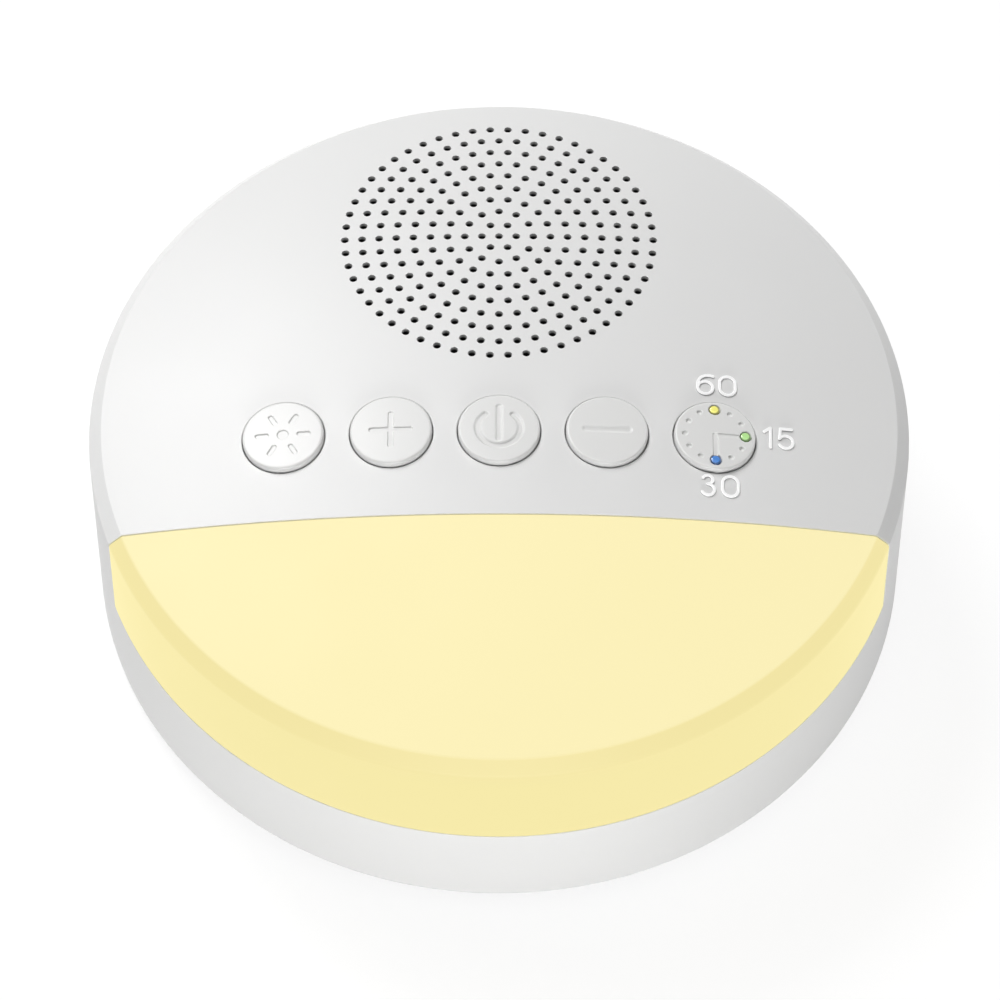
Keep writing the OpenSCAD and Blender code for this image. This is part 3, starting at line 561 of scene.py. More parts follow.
@dataclass(frozen=True)
class DrilledWithPaintedShade(Domed):
    """Plastic of the housing, with painted shade that darkens its drilled grille holes below the
    surface.
    """

    grille_r: float = 20.6 * MM
    edge: float = 0.2 * MM
    pale_z: float = -0.3 * MM
    dark_z: float = -0.8 * MM
    # Painted shade: the colour that the hole walls take below the surface, where little light reaches.
    hole_painted_shade: Colour = (0.012, 0.012, 0.013)

    def painted_shade(self, graph: Graph, tone: Signal) -> Signal:
        """Paints shade on what lies inside the grille's circle and below the dome's surface.

        Args:
            graph: The material's node tree.
            tone: The colour as it comes out of the mould.

        Returns:
            The colour with the painted shade in the holes.
        """
        plan = graph.distance(graph.position(LEVEL), (0.0, GRILLE_Y, 0.0))
        inside = 1 - graph.rise(plan, self.grille_r, self.grille_r + self.edge)
        below = graph.rise(self.above(graph), self.pale_z, self.dark_z)
        return graph.blend(below * inside, tone, self.hole_painted_shade)


@dataclass(frozen=True)
class Raised(Domed):
    """Plastic of raised numbers: white on top, with painted shade down their flanks."""

    # Painted shade: the grey that stands for the shadow down the numbers' flanks.
    flank_painted_shade: Colour = (0.34, 0.34, 0.34)
    flank_z: float = 0.06 * MM
    top_z: float = 0.18 * MM

    def painted_shade(self, graph: Graph, tone: Signal) -> Signal:
        """Paints shade on what lies close to the dome's surface."""
        return graph.blend(graph.rise(self.above(graph), self.flank_z, self.top_z), self.flank_painted_shade, tone)


@dataclass(frozen=True)
class Rounded(Moulded):
    """Plastic of a round cap, with painted shade down its side, where the well keeps the light away."""

    centre: Point = (0.0, 0.0, 0.0)
    # Painted shade: the side's darker colour stands for the shade in the well.
    side: Colour = (0.64, 0.64, 0.635)
    side_start: float = 4.96 * MM
    side_end: float = 5.13 * MM

    def painted_shade(self, graph: Graph, tone: Signal) -> Signal:
        """Paints shade on what lies far from the middle of the cap."""
        reach = graph.distance(graph.position(), self.centre)
        return graph.blend(graph.rise(reach, self.side_start, self.side_end), tone, self.side)


@dataclass(frozen=True)
class Diffuser(Finish):
    """Milky lens that glows from the light behind it, dimmer on the bevel and the wall, partly from its
    own uneven glow and partly as painted shade.
    """

    top: Colour
    bevel: Colour
    side: Colour
    body: Colour
    crease_z: float
    side_z: float
    under: float = 0.05 * MM
    over: float = 0.25 * MM
    roughness: float = 0.55
    cloud: float = 14 * MM
    veil: float = 0.04

    def fill(self, graph: Graph) -> None:
        """The glow's colour follows the height, with a faint cloudiness; its dip on the bevel and the
        wall is partly uneven glow and partly painted shade.

        Args:
            graph: The material's empty node tree.
        """
        height, cloud = graph.height(), graph.noise(self.cloud)
        # Partly painted shade: the glow dims on the bevel and the wall by height.
        low = graph.blend(graph.rise(height, self.side_z, self.crease_z), self.side, self.bevel)
        ridge = graph.rise(height, self.crease_z - self.under, self.crease_z + self.over)
        glow = graph.blend(ridge, low, self.top)
        glow = graph.blend(graph.between(cloud, 0.0, self.veil), glow, self.side)
        graph.surface(
            Base_Color=graph.shades(cloud, self.body, 1.0, 0.94),
            Roughness=graph.about(cloud, self.roughness, self.roughness * 0.1),
            Normal=graph.bump(graph.noise(0.3 * MM), 0.001 * MM), Emission_Color=glow,
            Emission_Strength=1.0, Specular_IOR_Level=0.3,
        )


@dataclass(frozen=True)
class Pipe(Finish):
    """Clear coloured light pipe with a little light in it."""

    colour: Colour
    glow: float = 0.25
    axis: Place = (0.0, 0.0)
    core: float = 0.45 * MM
    rim: float = 0.12 * MM
    rim_painted_shade: float = 0.3

    def fill(self, graph: Graph) -> None:
        """Clouded colour with painted shade round the edge, under a glossy face with a faint glow.

        Args:
            graph: The material's empty node tree.
        """
        cloud = graph.noise(0.5 * MM)
        off = graph.distance(graph.position(LEVEL), (*self.axis, 0.0))
        edge = graph.rise(off, self.core, self.core + self.rim)
        tone = graph.shades(cloud, self.colour, 0.85)
        # Painted shade: the dark ring round the edge stands for the shade where the pipe meets its pit.
        tone = graph.blend(edge, tone, shade(self.colour, self.rim_painted_shade))
        graph.surface(
            Base_Color=tone, Roughness=graph.between(cloud, 0.08, 0.16), Emission_Color=tone,
            Emission_Strength=self.glow, Coat_Weight=0.6, Coat_Roughness=0.05,
        )


@dataclass(frozen=True)
class Metal(Finish):
    """Plated or turned metal with fine scratches along one axis."""

    colour: Colour
    roughness: float = 0.3
    along: Point = (1, 1, 0.05)

    def fill(self, graph: Graph) -> None:
        """Stretched noise is the scratches, broad noise the tarnish."""
        scratch = graph.noise(0.12 * MM, 3, self.along)
        graph.surface(
            Base_Color=graph.shades(graph.noise(3 * MM, 3), self.colour, 0.86), Metallic=1.0,
            Roughness=graph.about(scratch, self.roughness, self.roughness * 0.3),
            Normal=graph.bump(scratch, 0.003 * MM),
        )


@dataclass(frozen=True)
class Woven(Finish):
    """Cloth of crossing threads."""

    colour: Colour
    pitch: float = 0.35 * MM
    wander: float = 0.4
    roughness: float = 0.85

    def fill(self, graph: Graph) -> None:
        """The product of two sets of ridges is the weave's height, and noise its fuzz.

        Args:
            graph: The material's empty node tree.
        """
        warp, weft = (graph.ridges(self.pitch, axis, self.wander) for axis in "XY")
        weave, fuzz = warp * weft, graph.noise(0.1 * MM, 3)
        graph.surface(
            Base_Color=graph.shades(weave, self.colour, 0.5, 1.2),
            Roughness=graph.about(fuzz, self.roughness, 0.1),
            Normal=graph.bump(weave + fuzz * 0.3, 0.05 * MM), Sheen_Weight=0.2,
        )


@dataclass(frozen=True)
class Fibrous(Finish):
    """Pressed paper, foam, ferrite or another dull body with a rough grain."""

    colour: Colour
    grain: float = 0.3 * MM
    depth: float = 0.02 * MM
    roughness: float = 0.9
    contrast: float = 0.25

    def fill(self, graph: Graph) -> None:
        """Noise with much detail is both tone and height."""
        grain = graph.noise(self.grain, 5)
        graph.surface(
            Base_Color=graph.shades(grain, self.colour, 1 - self.contrast, 1 + self.contrast),
            Roughness=graph.about(grain, self.roughness, 0.08),
            Normal=graph.bump(grain, self.depth),
        )


@dataclass(frozen=True)
class Wound(Finish):
    """Enamelled wire wound in even turns, or a wire's sleeve with faint drawing marks."""

    colour: Colour
    spacing: float
    depth: float = 0.02 * MM
    metallic: float = 0.8

    def fill(self, graph: Graph) -> None:
        """Ridges along Z are the turns."""
        turn = graph.ridges(self.spacing, "Z", 0.2)
        graph.surface(
            Base_Color=graph.shades(turn, self.colour, 0.55), Metallic=self.metallic,
            Roughness=graph.between(turn, 0.4, 0.25), Normal=graph.bump(turn, self.depth),
        )


@dataclass(frozen=True)
class Board(Finish):
    """Circuit board: solder mask over copper tracks, with rows of plated pads."""

    mask: Colour
    track: Colour
    pad: Colour = (0.72, 0.55, 0.25)
    pitch: float = 2.54 * MM

    def _cells(self, graph: Graph, settings: dict[str, str], uneven: float) -> Signal:
        """Distance to the edges or the middles of cells that lie more or less evenly."""
        values = {"Scale": 1 / self.pitch, "Randomness": uneven, "Vector": graph.position((1, 1, 0.02))}
        return graph.node("TexVoronoi", settings, values, out="Distance")

    def fill(self, graph: Graph) -> None:
        """Edges of uneven cells are tracks, and the middles of evener ones are pads.

        Args:
            graph: The material's empty node tree.
        """
        edge = self._cells(graph, {"feature": "DISTANCE_TO_EDGE"}, 0.85)
        centre = self._cells(graph, {"distance": "EUCLIDEAN"}, 0.35)
        track, pad = 1 - graph.rise(edge, 0.05, 0.09), 1 - graph.rise(centre, 0.14, 0.17)
        graph.surface(
            Base_Color=graph.blend(pad, graph.blend(track, self.mask, self.track), self.pad),
            Metallic=graph.between(pad, 0.0, 0.9),
            Roughness=graph.between(graph.noise(0.4 * MM, 3), 0.28, 0.42),
            Normal=graph.bump(track, 0.02 * MM),
        )


@dataclass(frozen=True)
class FloorCard(Finish):
    """Card that looks white, keeps the shadow, and reflects light as pale card does."""

    pale: Colour = (0.60, 0.60, 0.60)
    fleck: Colour = (0.64, 0.64, 0.64)
    thin: Colour = (0.20, 0.20, 0.20)
    glow: float = 0.86

    def fill(self, graph: Graph) -> None:
        """Rays that show the background see a glowing card, and the rest see a plain one.

        Args:
            graph: The material's empty node tree.
        """
        grain = graph.blend(graph.noise(1.5 * MM), self.pale, self.fleck)
        plain, thin = (graph.node("BsdfDiffuse", inputs={"Color": c}) for c in (grain, self.thin))
        glow = graph.node("Emission", inputs={"Color": (1.0, 1.0, 1.0), "Strength": self.glow})
        white = graph.node("AddShader", inputs={0: thin, 1: glow})
        shown = graph.node("MixShader", inputs={0: graph.seen(), 1: plain, 2: white})
        graph.node("OutputMaterial", inputs={"Surface": shown}, out=None)


# --------------------------------------------------------------------------------------------
# Housing and lens
# --------------------------------------------------------------------------------------------

@dataclass(frozen=True)
class Rows:
    """Rows of a turned surface: radius, height and the two parts of the normal."""

    r: Array
    z: Array
    nr: Array
    nz: Array

    @property
    def columns(self) -> tuple[Array, Array, Array, Array]:
        """The four lists of numbers."""
        return self.r, self.z, self.nr, self.nz

    def then(self, more: "Rows") -> "Rows":
        """The rows with more rows after them."""
        return Rows(*map(np.append, self.columns, more.columns))

    def swept(self, angles: Array) -> tuple[Array, Array]:
        """Points and normals of the rows at angles, which may differ from row to row."""
        r, z, nr, nz = (v[:, None] for v in self.columns)
        return polar(r, angles, z), polar(nr, angles, nz)


def wall_rows(radius: float, high: float, low: float) -> Rows:
    """Rows at both ends of an upright wall, which faces outwards."""
    return Rows(np.full(2, radius), np.array([high, low]), np.ones(2), np.zeros(2))


@dataclass(frozen=True)
class ShellForm:
    """The round, domed form that the housing and the lens share."""

    radius: float
    base_z: float
    apex_z: float
    dome_r: float = DOME_R
    wall: float = 2 * MM
    bevel_w: float = 1.6 * MM
    bevel_h: float = 2 * MM
    crease_r: float = 0.3 * MM
    brow_r: float = 0.5 * MM
    lower_r: float = 1.5 * MM
    patch_r: float = 47.5 * MM
    cut_y: float = -17.7 * MM
    sill_z: float = 15.8 * MM
    seam: float = 0.12 * MM
    break_r: float = 0.12 * MM
    back_columns: int = 240
    front_columns: int = 144
    arc_steps: int = 6
    dome_steps: int = 3
    least_r: float = 0.02 * MM

    @property
    def dome_z(self) -> float:
        """Height of the middle of the dome's ball."""
        return self.apex_z - self.dome_r

    def dome(self, x: Array, y: Array, inset: float = 0.0) -> Array:
        """Height of the dome, or of the same ball set in, over a plan point."""
        return self.dome_z + np.sqrt((self.dome_r - inset) ** 2 - x * x - y * y)

    def dome_normal(self, points: Array) -> Array:
        """Direction from the middle of the dome's ball."""
        return unit(points - self.dome_z * Z_AXIS)

    def seat(self, x: float, y: float) -> Seat:
        """A seat on the dome over a plan point, its Z along the dome's normal."""
        place = np.array([x, y, self.dome(x, y)])
        return Seat(place, turn_to(self.dome_normal(place)))

    def fillet(self, r: float, z: float, radius: float, start: float, end: float) -> Rows:
        """Rows of an arc round (r, z) whose normals turn from one angle to another."""
        a = np.linspace(start, end, self.arc_steps + 1)
        return Rows(r + radius * np.cos(a), z + radius * np.sin(a), np.cos(a), np.sin(a))

    def _dome_rows(self, inset: float, end: float) -> Rows:
        """Rows along the dome from the patch's edge to a polar angle from its axis.

        Args:
            inset: How far the dome is set in.
            end: The last angle, which has no row.

        Returns:
            The rows, from the patch outwards.
        """
        start = math.asin(self.patch_r / self.dome_r)
        a = np.linspace(start, end, self.dome_steps + 1)[:-1]
        ball = self.dome_r - inset
        return Rows(ball * np.sin(a), self.dome_z + ball * np.cos(a), np.sin(a), np.cos(a))

    def rows(self, inset: float = 0.0) -> Rows:
        """Rows from the patch's edge over the bevelled rim to the top of the wall.

        Args:
            inset: How far the surface is set in.

        Returns:
            As many rows for every inset, so that two insets can be joined row by row. A fillet's
            radius shrinks with the inset; a bevel's edges meet ball, slope and wall as tangents.
        """
        edge = self.radius - inset
        ball = self.dome_r - inset
        slant = math.hypot(self.bevel_w, self.bevel_h)
        outer_crease = self.radius - self.bevel_w
        rim_z = self.dome(outer_crease, 0.0) - self.bevel_h
        edge_z = rim_z - inset * (slant - self.bevel_h) / self.bevel_w
        run_r, run_z = -self.bevel_w / slant, self.bevel_h / slant
        low_r, low_z = edge, edge_z - self.dome_z
        half = low_r * run_r + low_z * run_z
        reach = -half + math.sqrt(half * half - (low_r**2 + low_z**2 - ball**2))
        crease_r, crease_z = low_r + reach * run_r, low_z + reach * run_z
        slope = math.atan2(self.bevel_w, self.bevel_h)
        radius = max(self.crease_r - inset, self.least_r)
        ridge = math.atan2(crease_z, crease_r)
        back = radius * math.tan((ridge - slope) / 2) / ball
        ridge += back
        r, z = (ball - radius) * math.cos(ridge), self.dome_z + (ball - radius) * math.sin(ridge)
        rows = self._dome_rows(inset, RIGHT_TURN - ridge)
        rows = rows.then(self.fillet(r, z, radius, ridge, slope))
        radius = max(self.brow_r - inset, self.least_r)
        brow_z = edge_z - radius * math.tan(slope / 2)
        return rows.then(self.fillet(edge - radius, brow_z, radius, slope, 0.0))

    def walled(self, rows: Rows, low_z: float) -> Rows:
        """The rows with the straight wall's lower end after them."""
        return rows.then(Rows(rows.r[-1:], np.array([low_z]), np.ones(1), np.zeros(1)))

    def back_angles(self, r: Array, y: float) -> Array:
        """Columns of rows at radii r behind the plane y, evenly from the right end to the left."""
        return half_turns(np.arcsin(y / r), self.back_columns)

    def front_angles(self, r: Array, y: float) -> Array:
        """Columns of rows at radii r in front of the plane y, from the left end to the right."""
        return math.pi + half_turns(np.arcsin(-y / r), self.front_columns)

    def chord(self, y: float, inset: float) -> Array:
        """Places along the cut between the patch's two corners, over the front columns.

        Args:
            y: The plane of the cut.
            inset: How far the dome is set in.

        Returns:
            X of each place.
        """
        r = self.patch_r * (1 - inset / self.dome_r)
        flat = np.cos(self.front_angles(np.array([self.patch_r]), self.cut_y)[0])
        return flat / abs(flat[0]) * math.sqrt(r * r - y * y)

    def opening(self, y: float, z: float, inset: float) -> tuple[Array, Array, Array]:
        """Walks once round the edge of the lens's opening.

        Args:
            y: The upright plane that cuts the dome, the rim and the wall.
            z: The level that cuts the front of the wall.
            inset: How far under the surface the edge lies.

        Returns:
            Points of the closed edge, the surface's normals there, and the directions that cross
            the edge: +Y along the plane, -Z along the level and both at the two corners.
        """
        rows = self.walled(self.rows(inset), z)
        x = np.sqrt(rows.r**2 - y * y)
        side = points_at(x, y, rows.z)
        lean = points_at(rows.nr * x / rows.r, rows.nr * y / rows.r, rows.nz)
        flip = 1 - 2 * X_AXIS
        angles = self.front_angles(rows.r[-1:], y)[0][::-1][1:-1]
        sill, sill_lean = polar(rows.r[-1], angles, z), polar(1.0, angles)
        chord = self.chord(y, inset)[1:-1]
        top = points_at(chord, y, self.dome(chord, y, inset))
        points = np.concatenate([side, sill, side[::-1] * flip, top])
        normals = np.concatenate([lean, sill_lean, lean[::-1] * flip, self.dome_normal(top)])
        corner = unit(Y_AXIS - Z_AXIS)
        n, m = len(side) - 1, len(sill)
        across = np.concatenate([
            np.tile(Y_AXIS, (n, 1)), corner[None], np.tile(-Z_AXIS, (m, 1)), corner[None],
            np.tile(Y_AXIS, (n + len(top), 1)),
        ])
        return points, normals, across

    def edge_band(self, skin: Skin, steps: Sequence[tuple[float, float, float, float, float]]) -> None:
        """Adds a band round the opening.

        Args:
            skin: The skin that the band belongs to.
            steps: For each row its plane y, level z and inset, and how much of its normal is the
                surface's normal and how much the direction across the edge.
        """
        rows, normals = [], []
        for y, z, inset, out, over in steps:
            points, lean, across = self.opening(y, z, inset)
            rows.append(points)
            normals.append(out * lean + over * across)
        skin.grid(np.stack(rows), np.stack(normals), wrap=True)

    def rounded_edge(self, skin: Skin, y: float, z: float, side: float) -> None:
        """Rounds the opening's edge from the surface down to a depth of break_r.

        Args:
            skin: The skin that the edge belongs to.
            y: The cut's plane.
            z: The cut's level.
            side: 1 for the housing, behind the cut and below the level, and -1 for the lens.
        """
        turn = quarter_turns(EDGE_STEPS)
        back = side * self.break_r * (1 - np.sin(turn))
        inset = self.break_r * (1 - np.cos(turn))
        steps = zip(y + back, z - back, inset, np.cos(turn), -side * np.sin(turn))
        self.edge_band(skin, list(steps))


@dataclass(frozen=True)
class RoundHoles:
    """Round holes through the dome that are all alike.

    The walls are worked out for all holes at once, as an array of holes, rows and sides.
    """

    seats: tuple[Seat, ...]
    radius: float
    edge_r: float
    sides: int
    edge_steps: int

    def rings(self, form: ShellForm, radius: Array, inset: Array, upright: bool) -> Array:
        """Works out rings of points round every hole.

        An upright hole's circle is level and lifted to the ball, and that of a hole square on the
        dome stands across the seat's own axis.

        Args:
            form: The form that is drilled.
            radius: Radius of each ring.
            inset: How far each ring is under the surface.
            upright: Whether the holes are upright or stand square on the dome.

        Returns:
            Points of shape (holes, rows, sides, 3).
        """
        circle = polar(1.0, round_turns(self.sides))
        axes = np.stack([s.axes for s in self.seats])
        origin = np.stack([s.origin for s in self.seats])
        flat = np.einsum("nij,sj->nsi", axes, circle)
        if upright:
            plan = origin[:, None, None, :2] + radius[None, :, None, None] * circle[None, None, :, :2]
            ball = form.dome_r - inset[None, :, None]
            drop = np.sqrt(ball**2 - (plan**2).sum(axis=-1))
            return np.concatenate([plan, (form.dome_z + drop)[..., None]], axis=-1)
        along = np.sqrt((form.dome_r - inset) ** 2 - radius**2)
        stem = along[None, :, None, None] * axes[:, None, None, :, 2]
        return form.dome_z * Z_AXIS + stem + radius[None, :, None, None] * flat[:, None]

    def bore(self, skin: Skin, form: ShellForm, upright: bool) -> tuple[Array, Array]:
        """Adds the holes' rounded edges and walls.

        Args:
            skin: The housing's skin.
            form: The form that is drilled.
            upright: Whether the holes are upright or stand square on the dome.

        Returns:
            The ring of each hole on the outer surface and on the inner one.
        """
        turn = quarter_turns(self.edge_steps)
        radius = self.radius + self.edge_r * (1 - np.sin(turn))
        inset = self.edge_r * (1 - np.cos(turn))
        edge = self.rings(form, radius, inset, upright)
        tube = self.rings(form, np.full(2, self.radius), np.array([self.edge_r, form.wall]), upright)
        centre = np.stack([s.origin for s in self.seats])[:, None, None]
        up, inward = form.dome_normal(edge), unit((centre - edge) * LEVEL)
        turn = turn[:, None, None]
        skin.grid(edge, np.cos(turn) * up + np.sin(turn) * inward, wrap=True)
        skin.grid(tube, (centre - tube) * LEVEL, wrap=True)
        return edge[:, 0], tube[:, -1]


@dataclass
class SocketWindow:
    """The shallow recess and the slot for the power socket, in the back of the wall."""

    face_y: float
    axis_z: float
    low_z: float = 4.5 * MM
    high_z: float = 14.2 * MM
    half_columns: int = 10
    face: Place = (13.4 * MM, 7.4 * MM)
    slot: Place = (9.3 * MM, 3.62 * MM)
    edge_r: float = 0.15 * MM
    steps: int = 12

    def outline(self, size: Place, grow: float = 0.0) -> tuple[Array, Array]:
        """Goes round a form with round ends.

        Args:
            size: Its width and height.
            grow: How much larger it is all round.

        Returns:
            Its (x, z) points from the right end's foot, and the outward directions there.
        """
        width, height = size
        radius = height / 2
        angle = np.linspace(-RIGHT_TURN, RIGHT_TURN, self.steps + 1)
        right = np.stack([np.cos(angle), np.sin(angle)], axis=-1)
        out = np.concatenate([right, -right])
        middle = np.array([width / 2 - radius, 0.0])
        centre = np.concatenate([np.tile(middle, (len(right), 1)), np.tile(-middle, (len(right), 1))])
        return centre + out * (radius + grow) + np.array([0.0, self.axis_z]), out

    def _around(self, skin: Skin, radius: float, ring: Array, hole: Array, facing: float) -> None:
        """Fills the wall between the window's corners on the columns and a hole's outline.

        Args:
            skin: The housing's skin.
            radius: The wall's radius.
            ring: Points on the window's corners and upper and lower edges.
            hole: (x, z) points round the hole.
            facing: 1 for the outside and -1 for the inside.
        """
        side = ring[:, ::2]
        plan = np.concatenate([side, hole])
        n = len(ring)
        marks = np.concatenate([np.full(n, -1), np.zeros(len(hole), int)])
        index = n + np.arange(len(hole))
        edges = np.stack([index, np.roll(index, -1)], axis=-1)
        faces = triangulate(plan, marks, edges)
        y = np.sqrt(radius**2 - plan[:, 0] ** 2)
        points = points_at(plan[:, 0], y, plan[:, 1])
        skin.patch(points, facing * points * LEVEL, faces)

    def cut(self, skin: Skin, form: ShellForm, outer: Array, inner: Array) -> None:
        """Adds the window.

        Args:
            skin: The housing's skin.
            form: Its form.
            outer: Points on the window's corners and upper and lower edges outside.
            inner: The same on the wall's inner surface.
        """
        inner_r = form.radius - form.wall
        mouth, out = self.outline(self.face, self.edge_r)
        self._around(skin, form.radius, outer, mouth, 1.0)
        face, _ = self.outline(self.face)
        slot, _ = self.outline(self.slot)
        turn = quarter_turns(EDGE_STEPS)[:, None, None]
        plan = face + out * self.edge_r * (1 - np.sin(turn))
        surface = np.sqrt(form.radius**2 - plan[..., 0] ** 2)
        y = surface - self.edge_r * (1 - np.cos(turn[..., 0]))
        lean = np.sin(turn) * -out
        skin.grid(
            points_at(plan[..., 0], y, plan[..., 1]),
            points_at(lean[..., 0], np.cos(turn[..., 0]), lean[..., 1]), wrap=True)
        side = points_at(-out[:, 0], 0.0, -out[:, 1])
        slot_y = np.sqrt(inner_r**2 - slot[:, 0] ** 2)
        lines = ((face, y[-1]), (face, self.face_y), (slot, self.face_y), (slot, slot_y))
        rim, floor, lip, end = (points_at(line[:, 0], depth, line[:, 1]) for line, depth in lines)
        skin.grid(np.stack([rim, floor]), side, wrap=True)
        skin.grid(np.stack([floor, lip]), Y_AXIS, wrap=True)
        skin.grid(np.stack([lip, end]), side, wrap=True)
        self._around(skin, inner_r, inner, slot, -1.0)


@dataclass
class Numerals:
    """Raised numbers round the timer button, drawn as strokes with round ends."""

    finish: Moulded
    height: float = 3.3 * MM
    width: float = 0.429 * MM
    spacing: float = 2.838 * MM
    proud: float = 0.25 * MM
    sunk: float = 0.15 * MM
    flat: float = 0.55
    places: dict[str, Place] = field(default_factory=lambda: {
        "60": (0.35 * MM, 7.95 * MM), "15": (7.55 * MM, 0.55 * MM), "30": (0.4 * MM, -7.2 * MM),
    })
    arc_points: int = 28
    end_points: int = 7
    rows: int = 5

    def _arc(self, y: float, r: float, start: float, end: float, x: float = 0.0) -> Array:
        """Centre line of an arc round (x, y) between two angles in degrees."""
        a = np.radians(np.linspace(start, end, self.arc_points))
        return np.stack([x + r * np.cos(a), y + r * np.sin(a)], axis=-1)

    def _lines(self, digit: str) -> list[Array]:
        """Centre lines of a digit's strokes, round its middle.

        Args:
            digit: 0, 1, 3, 5 or 6.

        Returns:
            For each stroke its (x, y) points.
        """
        h, top = self.height, (self.height - self.width) / 2
        if digit == "0":
            bend = h * 0.3
            ends = [self._arc(top - bend, bend, 0, 180), self._arc(bend - top, bend, 180, 360)]
            return [np.concatenate([*ends, ends[0][:1]])]
        if digit == "1":
            stem, flag_w, flag_h = h * 0.27, h * 0.24, h * 0.18
            return [np.array([[stem - flag_w, top - flag_h], [stem, top]]),
                    np.array([[stem, top], [stem, -top]])]
        if digit == "3":
            low = top * 0.56
            high = top - low
            return [self._arc(top - high, high, 155, -90), self._arc(low - top, low, 90, -155)]
        if digit == "5":
            bow, left, right, foot = h * 0.28, -h * 0.2, h * 0.24, -h * 0.24
            return [np.array([[right, top], [left, top]]),
                    np.array([[left, top], [foot, bow * 1.5 - top]]),
                    self._arc(bow - top, bow, 150, -150)]
        bowl, sweep = h * 0.29, h * 0.42
        back = self._arc(top - sweep, sweep, 65, 180, sweep - bowl)
        return [np.concatenate([back, self._arc(bowl - top, bowl, 180, 540)])]

    def _stroke(self, skin: Skin, line: Array, seat: Seat, form: ShellForm) -> None:
        """Adds one stroke.

        The outline runs up one side of the line, round its end, down the other side and round
        its start. Rows shrink it to the line while the height rises like an ellipse.

        Args:
            skin: The numbers' skin.
            line: The stroke's centre line.
            seat: The number's seat on the dome.
            form: The form that it stands on.
        """
        ahead = unit(np.gradient(line, axis=0))
        left = np.stack([-ahead[:, 1], ahead[:, 0]], axis=-1)
        half = np.linspace(0, math.pi, self.end_points + 2)[1:-1, None]
        end_cap = np.cos(half) * left[-1] + np.sin(half) * ahead[-1]
        start_cap = -np.cos(half) * left[0] - np.sin(half) * ahead[0]
        out = np.concatenate([left, end_cap, -left[::-1], start_cap])
        last, first = (np.repeat(end, self.end_points, axis=0) for end in (line[-1:], line[:1]))
        centre = np.concatenate([line, last, line[::-1], first])
        turn = quarter_turns(self.rows)
        shrink = self.flat + (1 - self.flat) * np.cos(turn)
        reach = np.concatenate([[1.0], shrink, [0.0]]) * self.width / 2
        rise = np.concatenate([[-self.sunk], self.proud * np.sin(turn), [self.proud]])
        lean = np.concatenate([[0.0], turn, [RIGHT_TURN]])[:, None, None]
        plan = centre[None] + out[None] * reach[:, None, None]
        local = points_at(plan[..., 0], plan[..., 1], rise[:, None])
        over = seat.points(points_at(plan[..., 0], plan[..., 1], 0.0))
        sag = form.dome(over[..., 0], over[..., 1]) - over[..., 2]
        points = seat.points(local) + sag[..., None] * Z_AXIS
        flat = np.cos(lean) * out[None]
        normals = seat.directions(points_at(flat[..., 0], flat[..., 1], np.sin(lean[..., 0])))
        skin.grid(points, normals, wrap=True)

    def build(self, form: ShellForm, timer: Place) -> bpy.types.Object:
        """Makes all the numbers.

        Args:
            form: The form that they stand on.
            timer: Plan place of the timer button.

        Returns:
            The piece, which is part of the housing.
        """
        skin, half = Skin(), self.spacing / 2
        for number, (x, y) in self.places.items():
            seat = form.seat(timer[0] + x, timer[1] + y)
            for digit, shift in zip(number, (-half, half)):
                for line in self._lines(digit):
                    self._stroke(skin, line + np.array([shift, 0.0]), seat, form)
        piece = skin.build("raised_numbers", self.finish.make("number_plastic"))
        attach(piece, "root")
        return piece


